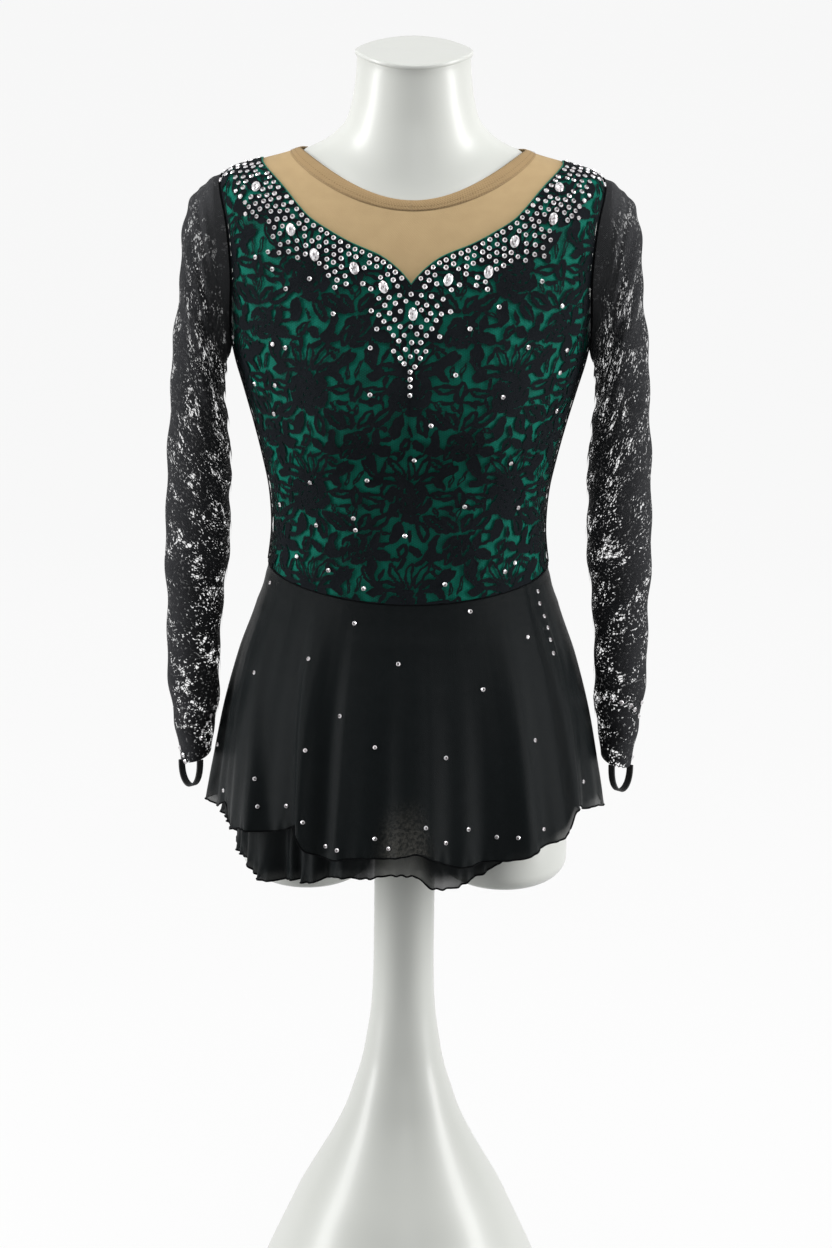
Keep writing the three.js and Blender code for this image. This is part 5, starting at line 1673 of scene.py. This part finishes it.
# %% Large oval stones
CUT = np.array([[1.0, 0.0], [1.0, 0.5], [0.72, 1.5], [0.42, 2.0], [0.2, 2.1]])
OVAL_SIDES, OVAL_HALF_WIDE, OVAL_HALF_HIGH, OVAL_LEAN, OVAL_OUT = 12, 3.9, 5.6, 18, 0.4
cut_turn = np.arange(OVAL_SIDES)[None, :] + 0.5 * (np.arange(len(CUT)) % 2)[:, None]
cut_turn = cut_turn * 2 * np.pi / OVAL_SIDES
oval_points, oval_faces, painted_sparkle = [], [], []
for spot, out in zip(large_spots, large_outs):
    aside = unit(np.cross([0, 0, 1.0], out))
    upward = np.cross(out, aside)
    lean = np.radians(OVAL_LEAN * np.sign(spot[0]) if abs(spot[0]) > 8 else 0)
    wide, high = CUT[:, :1] * OVAL_HALF_WIDE, CUT[:, :1] * OVAL_HALF_HIGH
    x = wide * np.cos(cut_turn) * np.cos(lean) + high * np.sin(cut_turn) * np.sin(lean)
    z = high * np.sin(cut_turn) * np.cos(lean) - wide * np.cos(cut_turn) * np.sin(lean)
    rings = spot + out * OVAL_OUT + x[..., None] * aside + z[..., None] * upward
    rings = rings + CUT[:, 1][:, None, None] * out
    base = len(oval_points) * OVAL_SIDES * len(CUT) + np.arange(OVAL_SIDES)
    quads = grid_faces(len(CUT), OVAL_SIDES, closed=True) + base[0]
    table = base + OVAL_SIDES * (len(CUT) - 1)
    oval_points.append(rings.reshape(-1, 3))
    oval_faces += quads.tolist() + [table.tolist(), base[::-1].tolist()]
    # Painted sparkle: each facet gets a random painted darkness, and the table and base are painted
    # dark, standing in for glints and reflections
    painted_sparkle += rng.choice([0.0, 0.15, 0.75], len(quads), p=[0.5, 0.25, 0.25]).tolist() + [0.8, 1.0]
ovals = add_piece("oval_stones", np.concatenate(oval_points), oval_faces, rhinestone,
                  smooth=False)
add_value(ovals, "table", painted_sparkle, "FACE")
print("large stones", len(large_spots))

# %% [markdown]
# ## Studio
# The dress stands in a white cove between two tall soft boxes. Little light comes
# from the front, so the glossy form is grey in the middle and bright at its sides.

# %% Studio
cove_profile = np.array([[-7, 0], [-2, 0], [2.2, 0], [3.2, 0.15], [3.9, 0.7], [4.2, 1.6],
                         [4.2, 7]]) / MM
COVE_ROWS, COVE_COLUMNS = 60, 25
cove_width = np.linspace(-6, 6, COVE_COLUMNS) / MM
path = between_rows(cove_profile, np.linspace(0, len(cove_profile) - 1, COVE_ROWS))
cove_points = np.stack([cove_width[None, :] + 0 * path[:, :1], path[:, :1] + 0 * cove_width,
                        path[:, 1:] + 0 * cove_width], axis=-1)
cove_white, nodes, links, shader = new_material("CoveWhite", 0.9, (0.85, 0.85, 0.85))
soft = noise_value(cove_white.node_tree, object_place(cove_white.node_tree), 1.5)
paper = mix_colours(cove_white.node_tree, soft, (0.05, 0.05, 0.05), (0.06, 0.06, 0.06))
links.new(paper, shader.inputs["Base Color"])
shader.inputs["Emission Color"].default_value = (1, 1, 1, 1)
shader.inputs["Emission Strength"].default_value = 0.89
# Seen from behind the paper is clear, so that the dress can be looked at from there
behind = nodes.new("ShaderNodeNewGeometry").outputs["Backfacing"]
links.new(math_node(cove_white.node_tree, "SUBTRACT", 1.0, behind), shader.inputs["Alpha"])
cove = mesh_object("cove", cove_points, grid_faces(COVE_ROWS, COVE_COLUMNS), cove_white)
cove.visible_diffuse = False


def soft_box(name, place, aim, width, height, power):
    """An area lamp that looks from a place to an aim."""
    data = bpy.data.lights.new(name, "AREA")
    data.shape = "RECTANGLE"
    data.size, data.size_y, data.energy = width, height, power
    lamp = bpy.data.objects.new(name, data)
    bpy.context.collection.objects.link(lamp)
    lamp.location = place
    toward = np.array(aim, float) - np.array(place, float)
    lamp.rotation_euler = Vector(toward).to_track_quat("-Z", "Y").to_euler()


for name, side in SIDES:
    soft_box(f"box_{name}", (2.3 * side, -0.4, 1.3), (0, 0, 0.8), 0.7, 2.4, 62)
soft_box("box_top", (0, -0.6, 3.2), (0, 0, 0.9), 1.6, 1.2, 30)
soft_box("box_front", (0.6, -4.2, 2.2), (0, 0, 0.8), 1.4, 1.0, 9)
world = bpy.data.worlds.new("studio")
world.use_nodes = True
world.node_tree.nodes["Background"].inputs["Color"].default_value = (0.9, 0.92, 0.92, 1)
WORLD_LIGHT, WORLD_SEEN = 0.24, 1.05
seen = world.node_tree.nodes.new("ShaderNodeLightPath").outputs["Is Camera Ray"]
strength = math_node(world.node_tree, "MULTIPLY_ADD", seen, WORLD_SEEN - WORLD_LIGHT, WORLD_LIGHT)
world.node_tree.links.new(strength, world.node_tree.nodes["Background"].inputs["Strength"])
bpy.context.scene.world = world
print("lamps", len(bpy.data.lights))
